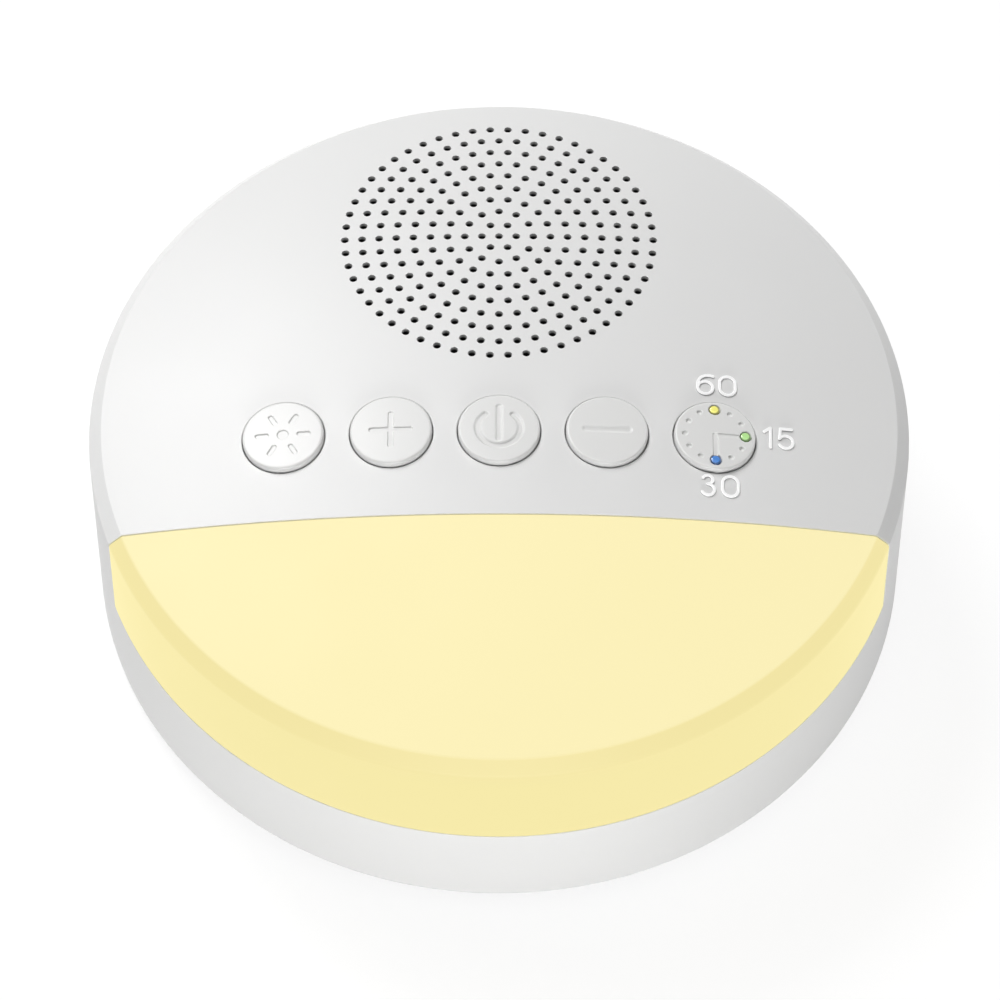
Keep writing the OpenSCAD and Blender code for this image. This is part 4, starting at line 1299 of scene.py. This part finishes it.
@dataclass
class Housing:
    """The white housing: dome with its grille and button holes, rim, wall and socket window."""

    form: ShellForm
    buttons: list[Place]
    finish: Moulded
    window: SocketWindow
    well_r: float = 5.3 * MM
    well_edge_r: float = 0.18 * MM
    grille_pitch: float = 2.205 * MM
    grille_rings: int = 9
    grille_hole_r: float = 0.5 * MM
    grille_edge_r: float = 0.04 * MM
    plan_step: float = 1.7 * MM

    def grille(self) -> list[Seat]:
        """Places of the grille's holes: one in the middle, then rings of 6, 12, 18 and so on.

        Returns:
            The holes' seats.
        """
        places = [(0.0, GRILLE_Y)]
        for ring in range(1, self.grille_rings + 1):
            angle = np.arange(6 * ring) * math.radians(60) / ring
            reach = ring * self.grille_pitch
            places += zip(reach * np.cos(angle), GRILLE_Y + reach * np.sin(angle))
        return [self.form.seat(x, y) for x, y in places]

    def _lattice(self, rings: list[tuple[Array, Array]]) -> Array:
        """Plan points in a pattern of triangles, clear of the patch's edge and of the holes.

        Args:
            rings: For each kind of hole its rings outside and inside.

        Returns:
            The (x, y) points.
        """
        form, step = self.form, self.plan_step
        span = np.arange(-form.patch_r, form.patch_r, step)
        x, y = np.meshgrid(span, span * math.sqrt(0.75))
        x = x + (np.arange(len(span)) % 2)[:, None] * step / 2
        y = y * form.patch_r / abs(y[0, 0])
        inner = np.stack([x.ravel(), y.ravel()], axis=-1)
        keep = (np.hypot(*inner.T) < form.patch_r - step) & (inner[:, 1] > form.cut_y + step)
        for outside, _ in rings:
            middle = outside[..., :2].mean(axis=1)
            radius = np.linalg.norm(outside[0, 0, :2] - middle[0])
            gap = np.linalg.norm(inner[:, None] - middle[None], axis=-1).min(axis=1)
            room = min(step * 0.45, radius * 0.9)
            keep &= gap > radius + room
        return inner[keep]

    def _patch(self, skin: Skin, rings: list[tuple[Array, Array]]) -> None:
        """Adds the dome's outer and inner surface within the patch's radius.

        Args:
            skin: The housing's skin.
            rings: For each kind of hole its rings outside and inside.
        """
        form = self.form
        surfaces = ((form.cut_y + form.break_r, 0.0, 1.0), (form.cut_y, form.wall, -1.0))
        inner = self._lattice(rings)
        plans = []
        for (y, inset, _), holes in zip(surfaces, zip(*rings)):
            r = form.rows(inset).r[:1]
            angles = form.back_angles(r, y)[0]
            arc = polar(r, angles)[:, :2]
            chord = form.chord(y, inset)[1:-1]
            line = np.stack([chord, np.full(len(chord), y)], axis=-1)
            edges = [hole[..., :2].reshape(-1, 2) for hole in holes]
            plans.append(np.concatenate([arc, line, *edges, inner]))
        count, number = len(arc) + len(line), 0
        marks, links = [np.full(count, -1)], []
        for outside, _ in rings:
            alike, sides = outside.shape[:2]
            marks.append(np.repeat(number + np.arange(alike), sides))
            index = count + np.arange(alike * sides).reshape(alike, sides)
            links.append(np.stack([index, np.roll(index, -1, axis=1)], axis=-1).reshape(-1, 2))
            count, number = count + alike * sides, number + alike
        marks.append(np.full(len(inner), -1))
        faces = triangulate(plans[0], np.concatenate(marks), np.concatenate(links))
        for (x, y), (_, inset, side) in zip((plan.T for plan in plans), surfaces):
            points = points_at(x, y, form.dome(x, y, inset))
            skin.patch(points, side * form.dome_normal(points), faces)

    def _wall(self, skin: Skin) -> None:
        """Adds the rim and the wall, outside and inside, with the lower edge.

        Args:
            skin: The housing's skin.
        """
        form, window = self.form, self.window
        surfaces = ((form.cut_y + form.break_r, 0.0, form.sill_z - form.break_r, 1.0),
                    (form.cut_y, form.wall, form.sill_z, -1.0))
        fold_z = form.base_z + form.lower_r
        middle = form.back_columns // 2
        first, last = middle - window.half_columns, middle + window.half_columns
        windows, turns = [], []
        for y, inset, sill_z, side in surfaces:
            rows = form.walled(form.rows(inset), sill_z)
            points, normals = rows.swept(form.back_angles(rows.r, y))
            skin.grid(points, side * normals)
            edge = np.array([form.radius - inset])
            ring = np.concatenate([form.back_angles(edge, y)[0], form.front_angles(edge, y)[0][1:-1]])
            for high, low in ((sill_z, window.high_z), (window.low_z, fold_z)):
                points, normals = wall_rows(edge[0], high, low).swept(ring)
                skin.grid(points, side * normals, wrap=True)
            band = wall_rows(edge[0], window.high_z, window.low_z)
            points, normals = band.swept(np.concatenate([ring[last:], ring[: first + 1]]))
            skin.grid(points, side * normals)
            windows.append(np.concatenate(band.swept(ring[first : last + 1])[0]))
            turns.append(ring)
        window.cut(skin, form, *windows)
        fold = form.fillet(form.radius - form.lower_r, fold_z, form.lower_r, 0.0, -RIGHT_TURN)
        points, normals = fold.swept(turns[0])
        skin.grid(points, normals, wrap=True)
        lip, normals = wall_rows(form.radius - form.wall, fold_z, form.base_z).swept(turns[1])
        skin.grid(lip, -normals, wrap=True)
        skin.grid(np.stack([points[-1], lip[-1]]), -Z_AXIS, wrap=True)

    def build(self) -> bpy.types.Object:
        """Makes the housing.

        Returns:
            The piece, which stands for the upper housing's solid.
        """
        form, skin = self.form, Skin()
        seats = tuple(form.seat(x, y) for x, y in self.buttons)
        grille = RoundHoles(
            tuple(self.grille()), self.grille_hole_r, self.grille_edge_r, sides=20, edge_steps=2)
        wells = RoundHoles(seats, self.well_r, self.well_edge_r, sides=96, edge_steps=4)
        self._patch(skin, [grille.bore(skin, form, True), wells.bore(skin, form, False)])
        self._wall(skin)
        form.rounded_edge(skin, form.cut_y, form.sill_z, 1.0)
        form.edge_band(skin, [
            (form.cut_y, form.sill_z, inset, 0.0, -1.0) for inset in (form.break_r, form.wall)
        ])
        piece = skin.build("housing_shell", self.finish.make("white_plastic"))
        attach(piece, "root")
        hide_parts("upper_housing")
        return piece


@dataclass
class Lens:
    """The night light's lens over the front of the dome, the rim and the wall."""

    form: ShellForm
    finish: Diffuser
    lap: float = 2 * MM
    lap_t: float = 1 * MM
    crease_r: float = 0.5 * MM
    brow_r: float = 1.2 * MM
    sheet_steps: int = 24

    def _sheet(self, skin: Skin, form: ShellForm, y: float, z: float, inset: float, side: float) -> None:
        """Adds the lens's surface at an inset: the rim and wall in rows, the dome in lines.

        Args:
            skin: The lens's skin.
            form: The form with the lens's softer edges.
            y: The plane that it ends at.
            z: The level that it ends at.
            inset: How far the surface is set in.
            side: 1 if it faces outwards and -1 if it faces inwards.
        """
        rows = form.walled(form.rows(inset), z)
        points, normals = rows.swept(form.front_angles(rows.r, y))
        skin.grid(points, side * normals)
        arc = points[0]
        chord = form.chord(y, inset)
        share = np.linspace(0, 1, self.sheet_steps + 1)[:, None]
        plan_x = chord + share * (arc[:, 0] - chord)
        plan_y = y + share * (arc[:, 1] - y)
        top = points_at(plan_x, plan_y, form.dome(plan_x, plan_y, inset))
        skin.grid(top, side * form.dome_normal(top))

    def build(self) -> bpy.types.Object:
        """Makes the lens.

        Returns:
            The piece, which stands for the lens's solid.
        """
        form = replace(self.form, crease_r=self.crease_r, brow_r=self.brow_r)
        skin = Skin()
        y, z = form.cut_y - form.seam, form.sill_z + form.seam
        under = form.wall + self.lap_t
        self._sheet(skin, form, y - form.break_r, z + form.break_r, 0.0, 1.0)
        form.rounded_edge(skin, y, z, -1.0)
        lap_y, lap_z = form.cut_y + self.lap, form.sill_z - self.lap
        far_y, far_z = form.cut_y - self.lap, form.sill_z + self.lap
        for first, last, out, over in (
            ((y, z, form.break_r), (y, z, form.wall), 0.0, 1.0),
            ((y, z, form.wall), (lap_y, lap_z, form.wall), 1.0, 0.0),
            ((lap_y, lap_z, form.wall), (lap_y, lap_z, under), 0.0, 1.0),
            ((lap_y, lap_z, under), (far_y, far_z, under), -1.0, 0.0),
            ((far_y, far_z, under), (far_y, far_z, form.wall), 0.0, -1.0),
        ):
            form.edge_band(skin, [(*first, out, over), (*last, out, over)])
        self._sheet(skin, form, far_y, far_z, form.wall, -1.0)
        piece = skin.build("night_light_lens", self.finish.make("lens_plastic"))
        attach(piece, "root")
        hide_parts("light_lens")
        return piece

# --------------------------------------------------------------------------------------------
# Buttons
# --------------------------------------------------------------------------------------------

class Symbol(Enum):
    """What a button is for, which is also the first word of its CAD names."""

    LIGHT = "light"
    PLUS = "plus"
    POWER = "power"
    MINUS = "minus"
    TIMER = "timer"


@dataclass(frozen=True)
class Groove:
    """A line or dot sunk into a cap's face, with sloping sides."""

    width: float
    depth: float
    slope: float = 0.14 * MM

    def sunk(self, distance: Array) -> Array:
        """Depth at a distance from the middle: full inside, smoothly none beyond the slope."""
        return self.depth * smooth((self.width / 2 + self.slope / 2 - distance) / self.slope)


@dataclass(frozen=True)
class Bar:
    """A straight line between two plan places, which is a dot where they are the same."""

    start: Place
    end: Place

    def off(self, x: Array, y: Array) -> Array:
        """How far plan points are from the line.

        Args:
            x: Plan X.
            y: Plan Y.

        Returns:
            The distances.
        """
        run_x, run_y = self.end[0] - self.start[0], self.end[1] - self.start[1]
        from_x, from_y = x - self.start[0], y - self.start[1]
        share = np.clip((from_x * run_x + from_y * run_y) / ((run_x**2 + run_y**2) or 1.0), 0, 1)
        return np.hypot(from_x - share * run_x, from_y - share * run_y)


@dataclass(frozen=True)
class OpenRing:
    """A ring round the middle with a gap in it."""

    radius: float
    gap_angle: float
    half_gap: float

    def off(self, x: Array, y: Array) -> Array:
        """How far plan points are from the ring, or in the gap from its nearer end.

        Args:
            x: Plan X.
            y: Plan Y.

        Returns:
            The distances.
        """
        turn = np.abs((np.arctan2(y, x) - self.gap_angle + math.pi) % FULL_TURN - math.pi)
        ends = [np.hypot(x - self.radius * math.cos(a), y - self.radius * math.sin(a))
                for a in (self.gap_angle - self.half_gap, self.gap_angle + self.half_gap)]
        return np.where(turn < self.half_gap, np.minimum(*ends), np.abs(np.hypot(x, y) - self.radius))


def dots(places: Iterable[Place]) -> list[Bar]:
    """Dots at plan places."""
    return [Bar(place, place) for place in places]


# How much a cap's face rises with plan Y: its front edge stands higher than its back edge.
CAP_LEAN = -0.04
# Radius of the clock face's dots and light pipes, and the pipes' directions in degrees.
DIAL_R = 3.85 * MM
PIPE_ANGLES = {"yellow": 90, "green": 0, "blue": 270}
PIPE_PIT = Groove(1.5 * MM, 0.4 * MM, 0.12 * MM)

MIDDLE = (0.0, 0.0)
LINE = 0.6 * MM
DEEP, FAINT = 0.2 * MM, 0.15 * MM
SPOKES = range(0, 360, 60)
SPOKE_START, SPOKE_END = 2.1 * MM, 3.2 * MM
PLUS_HALF, MINUS_HALF = 2.4 * MM, 2.7 * MM
HAND = 2.9 * MM
HOURS = [a for a in range(0, 360, 30) if a not in PIPE_ANGLES.values()]

MARKS: dict[Symbol, list[tuple[Groove, list[Bar | OpenRing]]]] = {
    Symbol.LIGHT: [
        (Groove(1.4 * MM, DEEP), dots([MIDDLE])),
        (Groove(LINE, DEEP), list(map(
            Bar, round_places(SPOKE_START, SPOKES), round_places(SPOKE_END, SPOKES)))),
    ],
    Symbol.PLUS: [(Groove(LINE * 1.15, DEEP), [
        Bar((-PLUS_HALF, 0.0), (PLUS_HALF, 0.0)), Bar((0.0, -PLUS_HALF), (0.0, PLUS_HALF)),
    ])],
    Symbol.POWER: [(Groove(LINE * 1.25, 0.25 * MM, 0.36 * MM), [
        OpenRing(2.7 * MM, RIGHT_TURN, math.radians(41)), Bar((0.0, -1.6 * MM), (0.0, 3.2 * MM)),
    ])],
    Symbol.MINUS: [
        (Groove(LINE * 1.2, FAINT, 0.45 * MM), [Bar((-MINUS_HALF, 0.0), (MINUS_HALF, 0.0))]),
    ],
    Symbol.TIMER: [
        (Groove(LINE * 0.8, FAINT), [Bar(MIDDLE, (HAND, 0.0))]),
        (Groove(LINE * 1.1, DEEP), [Bar(MIDDLE, (0.0, -HAND))]),
        (Groove(LINE, 0.28 * MM, 0.25 * MM), dots(round_places(DIAL_R, HOURS))),
        (PIPE_PIT, dots(round_places(DIAL_R, PIPE_ANGLES.values()))),
    ],
}


@dataclass
class ButtonCap:
    """A round cap with a soft edge, a crowned face and a sunk symbol, hollow, with a flange."""

    symbol: Symbol
    place: Place
    form: ShellForm
    finish: Rounded
    proud: float = 0.7 * MM
    radius: float = 5.17 * MM
    crown_r: float = 120 * MM
    edge_w: float = 0.35 * MM
    edge_h: float = 0.42 * MM
    flange_r: float = 6.2 * MM
    flange_low: float = -2.92 * MM
    flange_high: float = -2.12 * MM
    skirt_r: float = 4.5 * MM
    ceiling: float = -0.6 * MM
    stem_r: float = 1.4 * MM
    stem_z: float = 31.3 * MM
    stem_drop: float = 0.3 * MM
    slope_step: float = 0.02 * MM
    face_rings: int = 84
    edge_rings: int = 10
    columns: int = 256
    stem_columns: int = 48

    def sunk(self, x: Array, y: Array) -> Array:
        """Depth of the symbol under the crowned face: of its deepest groove at each point."""
        marks = MARKS[self.symbol]
        return np.max([groove.sunk(path.off(x, y)) for groove, paths in marks for path in paths], axis=0)

    def crown(self, rho: Array, y: Array) -> Array:
        """Height of the face: it falls with the squared radius and leans with plan Y."""
        return self.proud - rho**2 / (2 * self.crown_r) + CAP_LEAN * y

    def _face(self, skin: Skin, seat: Seat) -> None:
        """Adds the face, the soft edge and the upright side.

        The face is the crown less the symbol's depth, over rings and columns. The edge follows
        the crown and drops as a quarter of an ellipse, and the side is a cylinder. Normals come
        from the slopes of these heights.

        Args:
            skin: The cap's skin.
            seat: The cap's seat on the dome.
        """
        flat_r, step = self.radius - self.edge_w, self.slope_step
        rho = np.linspace(0, flat_r, self.face_rings + 1)[:, None]
        angle = round_turns(self.columns)
        x, y = rho * np.cos(angle), rho * np.sin(angle)
        slope_x = (self.sunk(x + step, y) - self.sunk(x - step, y)) / (2 * step) + x / self.crown_r
        slope_y = (self.sunk(x, y + step) - self.sunk(x, y - step)) / (2 * step) + y / self.crown_r
        face = points_at(x, y, self.crown(rho, y) - self.sunk(x, y))
        out = points_at(slope_x, slope_y - CAP_LEAN, 1.0)
        skin.band(seat, face, out)
        turn = quarter_turns(self.edge_rings)[:, None]
        rho = flat_r + self.edge_w * np.sin(turn)
        x, y = rho * np.cos(angle), rho * np.sin(angle)
        edge = points_at(x, y, self.crown(rho, y) - self.edge_h * (1 - np.cos(turn)))
        run = self.edge_w * np.cos(turn)
        fall = rho / self.crown_r * run + self.edge_h * np.sin(turn)
        out = points_at(fall * np.cos(angle), fall * np.sin(angle) - CAP_LEAN * run, run)
        skin.band(seat, edge, out)
        side = np.stack([edge[-1], edge[-1] * LEVEL + self.flange_high * Z_AXIS])
        skin.band(seat, side, side * LEVEL)

    def build(self) -> bpy.types.Object:
        """Makes the cap.

        Returns:
            The piece, which rides on the button's body.
        """
        skin, seat = Skin(), self.form.seat(*self.place)
        self._face(skin, seat)
        skin.lathe([
            (self.radius, self.flange_high), (self.flange_r, self.flange_high),
            (self.flange_r, self.flange_low), (self.skirt_r, self.flange_low),
            (self.skirt_r, self.ceiling), (0.0, self.ceiling),
        ], seat, self.columns)
        top = self.form.dome(*self.place) - self.stem_drop
        stem = [(0.0, top), (self.stem_r, top), (self.stem_r, self.stem_z), (0.0, self.stem_z)]
        skin.lathe(stem, level_seat(*self.place), self.stem_columns)
        name = self.symbol.value
        finish = replace(self.finish, centre=tuple(seat.origin))
        piece = skin.build(f"{name}_cap_face", finish.make(f"{name}_cap_plastic"))
        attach(piece, f"{name}_button")
        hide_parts(f"{name}_button_cap")
        return piece


@dataclass
class Indicator:
    """A clear coloured light pipe with a domed end in the timer cap."""

    colour_name: str
    place: Place
    form: ShellForm
    finish: Pipe
    radius: float = 0.64 * MM
    top: float = 0.74 * MM
    shoulder: float = 0.59 * MM
    rings: int = 10
    columns: int = 40

    def build(self) -> bpy.types.Object:
        """Makes the pipe: a turned quarter of an ellipse, a straight rod and a flat foot.

        Returns:
            The piece, which rides on the timer button.
        """
        node = f"{self.colour_name}_indicator"
        low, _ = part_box(node)
        seat = self.form.seat(*self.place)
        [(x, y)] = round_places(DIAL_R, [PIPE_ANGLES[self.colour_name]])
        own = Seat(seat.points(np.array([x, y, CAP_LEAN * y])), seat.axes)
        upright = seat.axes[2, 2]
        foot = (low.z - own.origin[2] + self.radius * math.sqrt(1 - upright**2)) / upright
        skin, turn = Skin(), quarter_turns(self.rings)
        out, up = self.radius * np.sin(turn), (self.top - self.shoulder) * np.cos(turn)
        lean = np.arctan2((self.top - self.shoulder) * np.sin(turn), self.radius * np.cos(turn))
        skin.turned(out, self.shoulder + up, lean, own, self.columns)
        rod = [(self.radius, self.shoulder), (self.radius, foot), (0.0, foot)]
        skin.lathe(rod, own, self.columns)
        finish = replace(self.finish, axis=tuple(own.origin[:2]))
        piece = skin.build(f"{self.colour_name}_light_pipe", finish.make(f"{self.colour_name}_pipe"))
        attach(piece, "timer_button")
        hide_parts(node)
        return piece


# --------------------------------------------------------------------------------------------
# Speaker
# --------------------------------------------------------------------------------------------

@dataclass
class Spider:
    """The corrugated disc that centres the voice coil, and gives way as the cone moves."""

    finish: Woven
    cloth: float = 0.3 * MM
    gap: float = 0.05 * MM
    ledge_w: float = 0.8 * MM
    waves: int = 3
    rings: int = 48
    keep: float = 0.05
    anchor_drop: float = 0.06 * MM

    def build(self) -> bpy.types.Object:
        """Makes the disc: both faces follow one cosine wave from the coil to the ledge.

        Returns:
            The piece, which rides on the root and flattens with the diaphragm's stroke.
        """
        low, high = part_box("speaker_spider")
        coil_low, coil_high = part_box("voice_coil")
        middle = (low + high) / 2
        outer = (high.x - low.x) / 2 - self.ledge_w - self.gap
        inner = (coil_high.x - coil_low.x) / 2 + self.gap
        seat = level_seat(middle.x, middle.y, low.z)
        wave = (high.z - low.z - self.cloth) / 2
        radius = np.linspace(inner, outer, self.rings + 1)
        rate = self.waves * FULL_TURN / (outer - inner)
        height = wave * (1 - np.cos((radius - inner) * rate))
        lean = np.arctan(wave * rate * np.sin((radius - inner) * rate))
        skin = Skin()
        skin.turned(radius, height + self.cloth, -lean, seat)
        skin.turned(radius, height, math.pi - lean, seat)
        skin.lathe([(outer, self.cloth), (outer, 0.0)], seat)
        skin.lathe([(inner, 0.0), (inner, self.cloth)], seat)
        piece = skin.build("corrugated_spider", self.finish.make("spider_weave"))
        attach(piece, "root")
        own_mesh(piece)
        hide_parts("speaker_spider")
        return piece


# --------------------------------------------------------------------------------------------
# Pieces that keep their solids
# --------------------------------------------------------------------------------------------

WHITE = Moulded((0.80, 0.80, 0.795), 0.42)
CAP_WHITE = Rounded((0.80, 0.80, 0.79), 0.36, grain=0.18 * MM)
# The numbers' glow is painted light: emission that makes them whiter though they are no lamp.
NUMBER_WHITE_AND_GLOW = Raised((0.93, 0.93, 0.93), 0.35, glow=0.17)
# The housing's white, with painted shade in the grille holes.
DRILLED_WHITE_PAINTED_SHADE = DrilledWithPaintedShade(WHITE.colour, WHITE.roughness)
# The lens glows; its dimmer bevel and side colours are partly painted shade.
LENS = Diffuser(
    top=(0.895, 0.805, 0.435), bevel=(0.825, 0.725, 0.335), side=(0.83, 0.735, 0.33),
    body=(0.05, 0.045, 0.03), crease_z=31.5 * MM, side_z=27 * MM,
)

SLOT_FINISHES: dict[str, Finish] = {
    "white_plastic": WHITE,
    "lens_plastic": LENS,
    "button_plastic": CAP_WHITE,
    "reflector_plastic": Moulded((0.85, 0.85, 0.84), 0.6),
    "rubber": Moulded((0.035, 0.035, 0.036), 0.75, grain=0.4 * MM, depth=0.01 * MM, mottle=0.15),
    "screw_steel": Metal((0.56, 0.57, 0.59), 0.32),
    "speaker_steel": Metal((0.50, 0.51, 0.53), 0.38),
    "cloth": Woven((0.006, 0.006, 0.007)),
    "foam": Fibrous((0.03, 0.03, 0.032), 0.5 * MM, 0.12 * MM),
    "ferrite": Fibrous((0.035, 0.035, 0.038), 0.25 * MM, 0.015 * MM, 0.6),
    "surround_rubber": Moulded((0.02, 0.02, 0.021), 0.55, depth=0.004 * MM, mottle=0.12),
    "spider_cloth": Woven((0.55, 0.33, 0.12), 0.4 * MM),
    "cone_paper": Fibrous((0.03, 0.03, 0.033), 0.5 * MM, 0.03 * MM),
    "coil_wire": Wound((0.72, 0.33, 0.14), 0.15 * MM),
    "phenolic": Fibrous((0.22, 0.10, 0.04), 0.3 * MM, 0.01 * MM, 0.5),
    "contact_brass": Metal((0.72, 0.55, 0.28), 0.3),
    "board_green": Board((0.012, 0.10, 0.04), (0.03, 0.17, 0.07)),
    "board_white": Board((0.78, 0.78, 0.76), (0.70, 0.70, 0.68)),
    "chip_black": Fibrous((0.018, 0.018, 0.019), 0.12 * MM, 0.006 * MM, 0.55),
    "switch_black": Moulded((0.02, 0.02, 0.021), 0.4, mottle=0.1),
    "plunger_plastic": Moulded((0.60, 0.12, 0.08), 0.4, mottle=0.05),
    "capacitor_sleeve": Moulded((0.03, 0.05, 0.13), 0.3, mottle=0.08),
    "resistor_ceramic": Fibrous((0.05, 0.05, 0.055), 0.1 * MM, 0.004 * MM, 0.45),
    "socket_nylon": Moulded((0.70, 0.68, 0.60), 0.45, mottle=0.04),
    "socket_steel": Metal((0.62, 0.63, 0.65), 0.26),
    "tongue_plastic": Moulded((0.02, 0.02, 0.022), 0.45, mottle=0.1),
    "led_lens": Moulded((0.85, 0.70, 0.25), 0.3, mottle=0.06, coat=0.5),
    "timer_led_lens": Moulded((0.80, 0.80, 0.76), 0.25, mottle=0.04, coat=0.6),
    "yellow_pipe": Pipe((0.90, 0.85, 0.17)),
    "green_pipe": Pipe((0.42, 0.74, 0.25)),
    "blue_pipe": Pipe((0.025, 0.20, 0.62)),
    "wire_sleeve": Wound((0.05, 0.05, 0.055), 0.4 * MM, 0.004 * MM, 0.0),
}


def dress_solids() -> None:
    """Gives every node that keeps its solid the finish of its material slot."""
    made: dict[str, bpy.types.Material] = {}
    for row in frame["record"]["subparts"]:
        node, name = row["node"], row["material_slot"]
        if name not in made:
            made[name] = SLOT_FINISHES[name].make(f"{name}_finish")
        mesh = frame["nodes"][node].data
        mesh.materials.clear()
        mesh.materials.append(made[name])
        log.info("%s: %s", node, name)


# --------------------------------------------------------------------------------------------
# Studio
# --------------------------------------------------------------------------------------------

@dataclass(frozen=True)
class SoftLamp:
    """A square lamp that looks at the object."""

    name: str
    place: Point
    size: float
    power: float
    target: Point = (0.0, 0.0, 0.03)

    def build(self) -> None:
        """Places the lamp, its -Z towards the target."""
        light = bpy.data.lights.new(self.name, "AREA")
        light.size, light.energy = self.size, self.power
        lamp = bpy.data.objects.new(self.name, light)
        lamp.location = self.place
        away = Vector(self.target) - Vector(self.place)
        lamp.rotation_euler = away.to_track_quat("-Z", "Y").to_euler()
        bpy.context.scene.collection.objects.link(lamp)


@dataclass
class Studio:
    """Pale floor, soft lamps, a plain world and the camera."""

    focal: float = 201.24
    sensor: float = 36.0
    reach: float = 20.0
    camera_place: Point = (0.00012, -0.4080, 0.6102)
    camera_tilt: float = 34.372
    floor_half: float = 3.0
    floor_cells: int = 8
    lamps: tuple[SoftLamp, ...] = (
        SoftLamp("key", (-0.36, 0.62, 0.85), 0.35, 5.5),
        SoftLamp("hanging", (-0.12, 0.09, 0.30), 0.12, 0.25),
        SoftLamp("over", (0.0, 0.1, 1.1), 0.8, 1.6),
        SoftLamp("front", (0.0, -0.8, 0.06), 0.35, 7.0),
        SoftLamp("left", (-0.75, 0.5, 0.12), 0.4, 1.7),
        SoftLamp("right", (0.75, 0.5, 0.12), 0.4, 2.4),
    )
    world_light: float = 0.06

    def _world(self) -> None:
        """Makes the world: white where it is seen, and dim as a light."""
        world = bpy.data.worlds.new("studio_world")
        world.use_nodes = True
        bpy.context.scene.world = world
        graph = Graph(world.node_tree)
        strength = graph.between(graph.seen(), self.world_light, 1.0)
        background = graph.node("Background", inputs={"Color": (1.0, 1.0, 1.0), "Strength": strength})
        graph.node("OutputWorld", inputs={"Surface": background}, out=None)

    def _floor(self) -> None:
        """Makes the floor, a wide level square."""
        side = np.linspace(-self.floor_half, self.floor_half, self.floor_cells + 1)
        x, y = np.meshgrid(side, side)
        skin = Skin()
        skin.grid(points_at(x, y, 0.0), Z_AXIS)
        material = FloorCard().make("floor_card")
        skin.build("floor", material)

    def _camera(self) -> None:
        """Makes the camera, which looks down at the front."""
        data = bpy.data.cameras.new("camera")
        data.lens, data.sensor_width, data.clip_end = self.focal, self.sensor, self.reach
        camera = bpy.data.objects.new("camera", data)
        camera.location = self.camera_place
        camera.rotation_euler = (math.radians(self.camera_tilt), 0.0, 0.0)
        bpy.context.scene.collection.objects.link(camera)
        bpy.context.scene.camera = camera

    def build(self) -> None:
        """Makes everything round the object."""
        bpy.context.scene.view_settings.view_transform = "Standard"
        self._world()
        self._floor()
        for lamp in self.lamps:
            lamp.build()
        self._camera()


# --------------------------------------------------------------------------------------------
# The sound machine
# --------------------------------------------------------------------------------------------

BUTTON_PITCH = 13.53 * MM
BUTTON_Y = -5.5 * MM


def main() -> None:
    """Builds the pieces in order and reports each piece."""
    logging.basicConfig(level=logging.INFO, format="%(name)s: %(message)s")
    dress_solids()
    low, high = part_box("upper_housing")
    form = ShellForm(radius=high.x, base_z=low.z, apex_z=high.z)
    buttons = {symbol: (turn * BUTTON_PITCH, BUTTON_Y) for turn, symbol in enumerate(Symbol, start=-2)}
    socket_low, socket_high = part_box("power_socket")
    window = SocketWindow(socket_high.y, (socket_low.z + socket_high.z) / 2)
    pieces = [
        Housing(form, list(buttons.values()), DRILLED_WHITE_PAINTED_SHADE, window).build(),
        Numerals(NUMBER_WHITE_AND_GLOW).build(form, buttons[Symbol.TIMER]),
        Lens(form, LENS).build(),
    ]
    pieces += [ButtonCap(symbol, place, form, CAP_WHITE).build() for symbol, place in buttons.items()]
    for name in PIPE_ANGLES:
        finish = SLOT_FINISHES[f"{name}_pipe"]
        pieces.append(Indicator(name, buttons[Symbol.TIMER], form, finish).build())
    pieces.append(Spider(SLOT_FINISHES["spider_cloth"]).build())
    for piece in pieces:
        log.info("%s: %d faces", piece.name, len(piece.data.polygons))
    Studio().build()


if __name__ == "__main__":
    main()
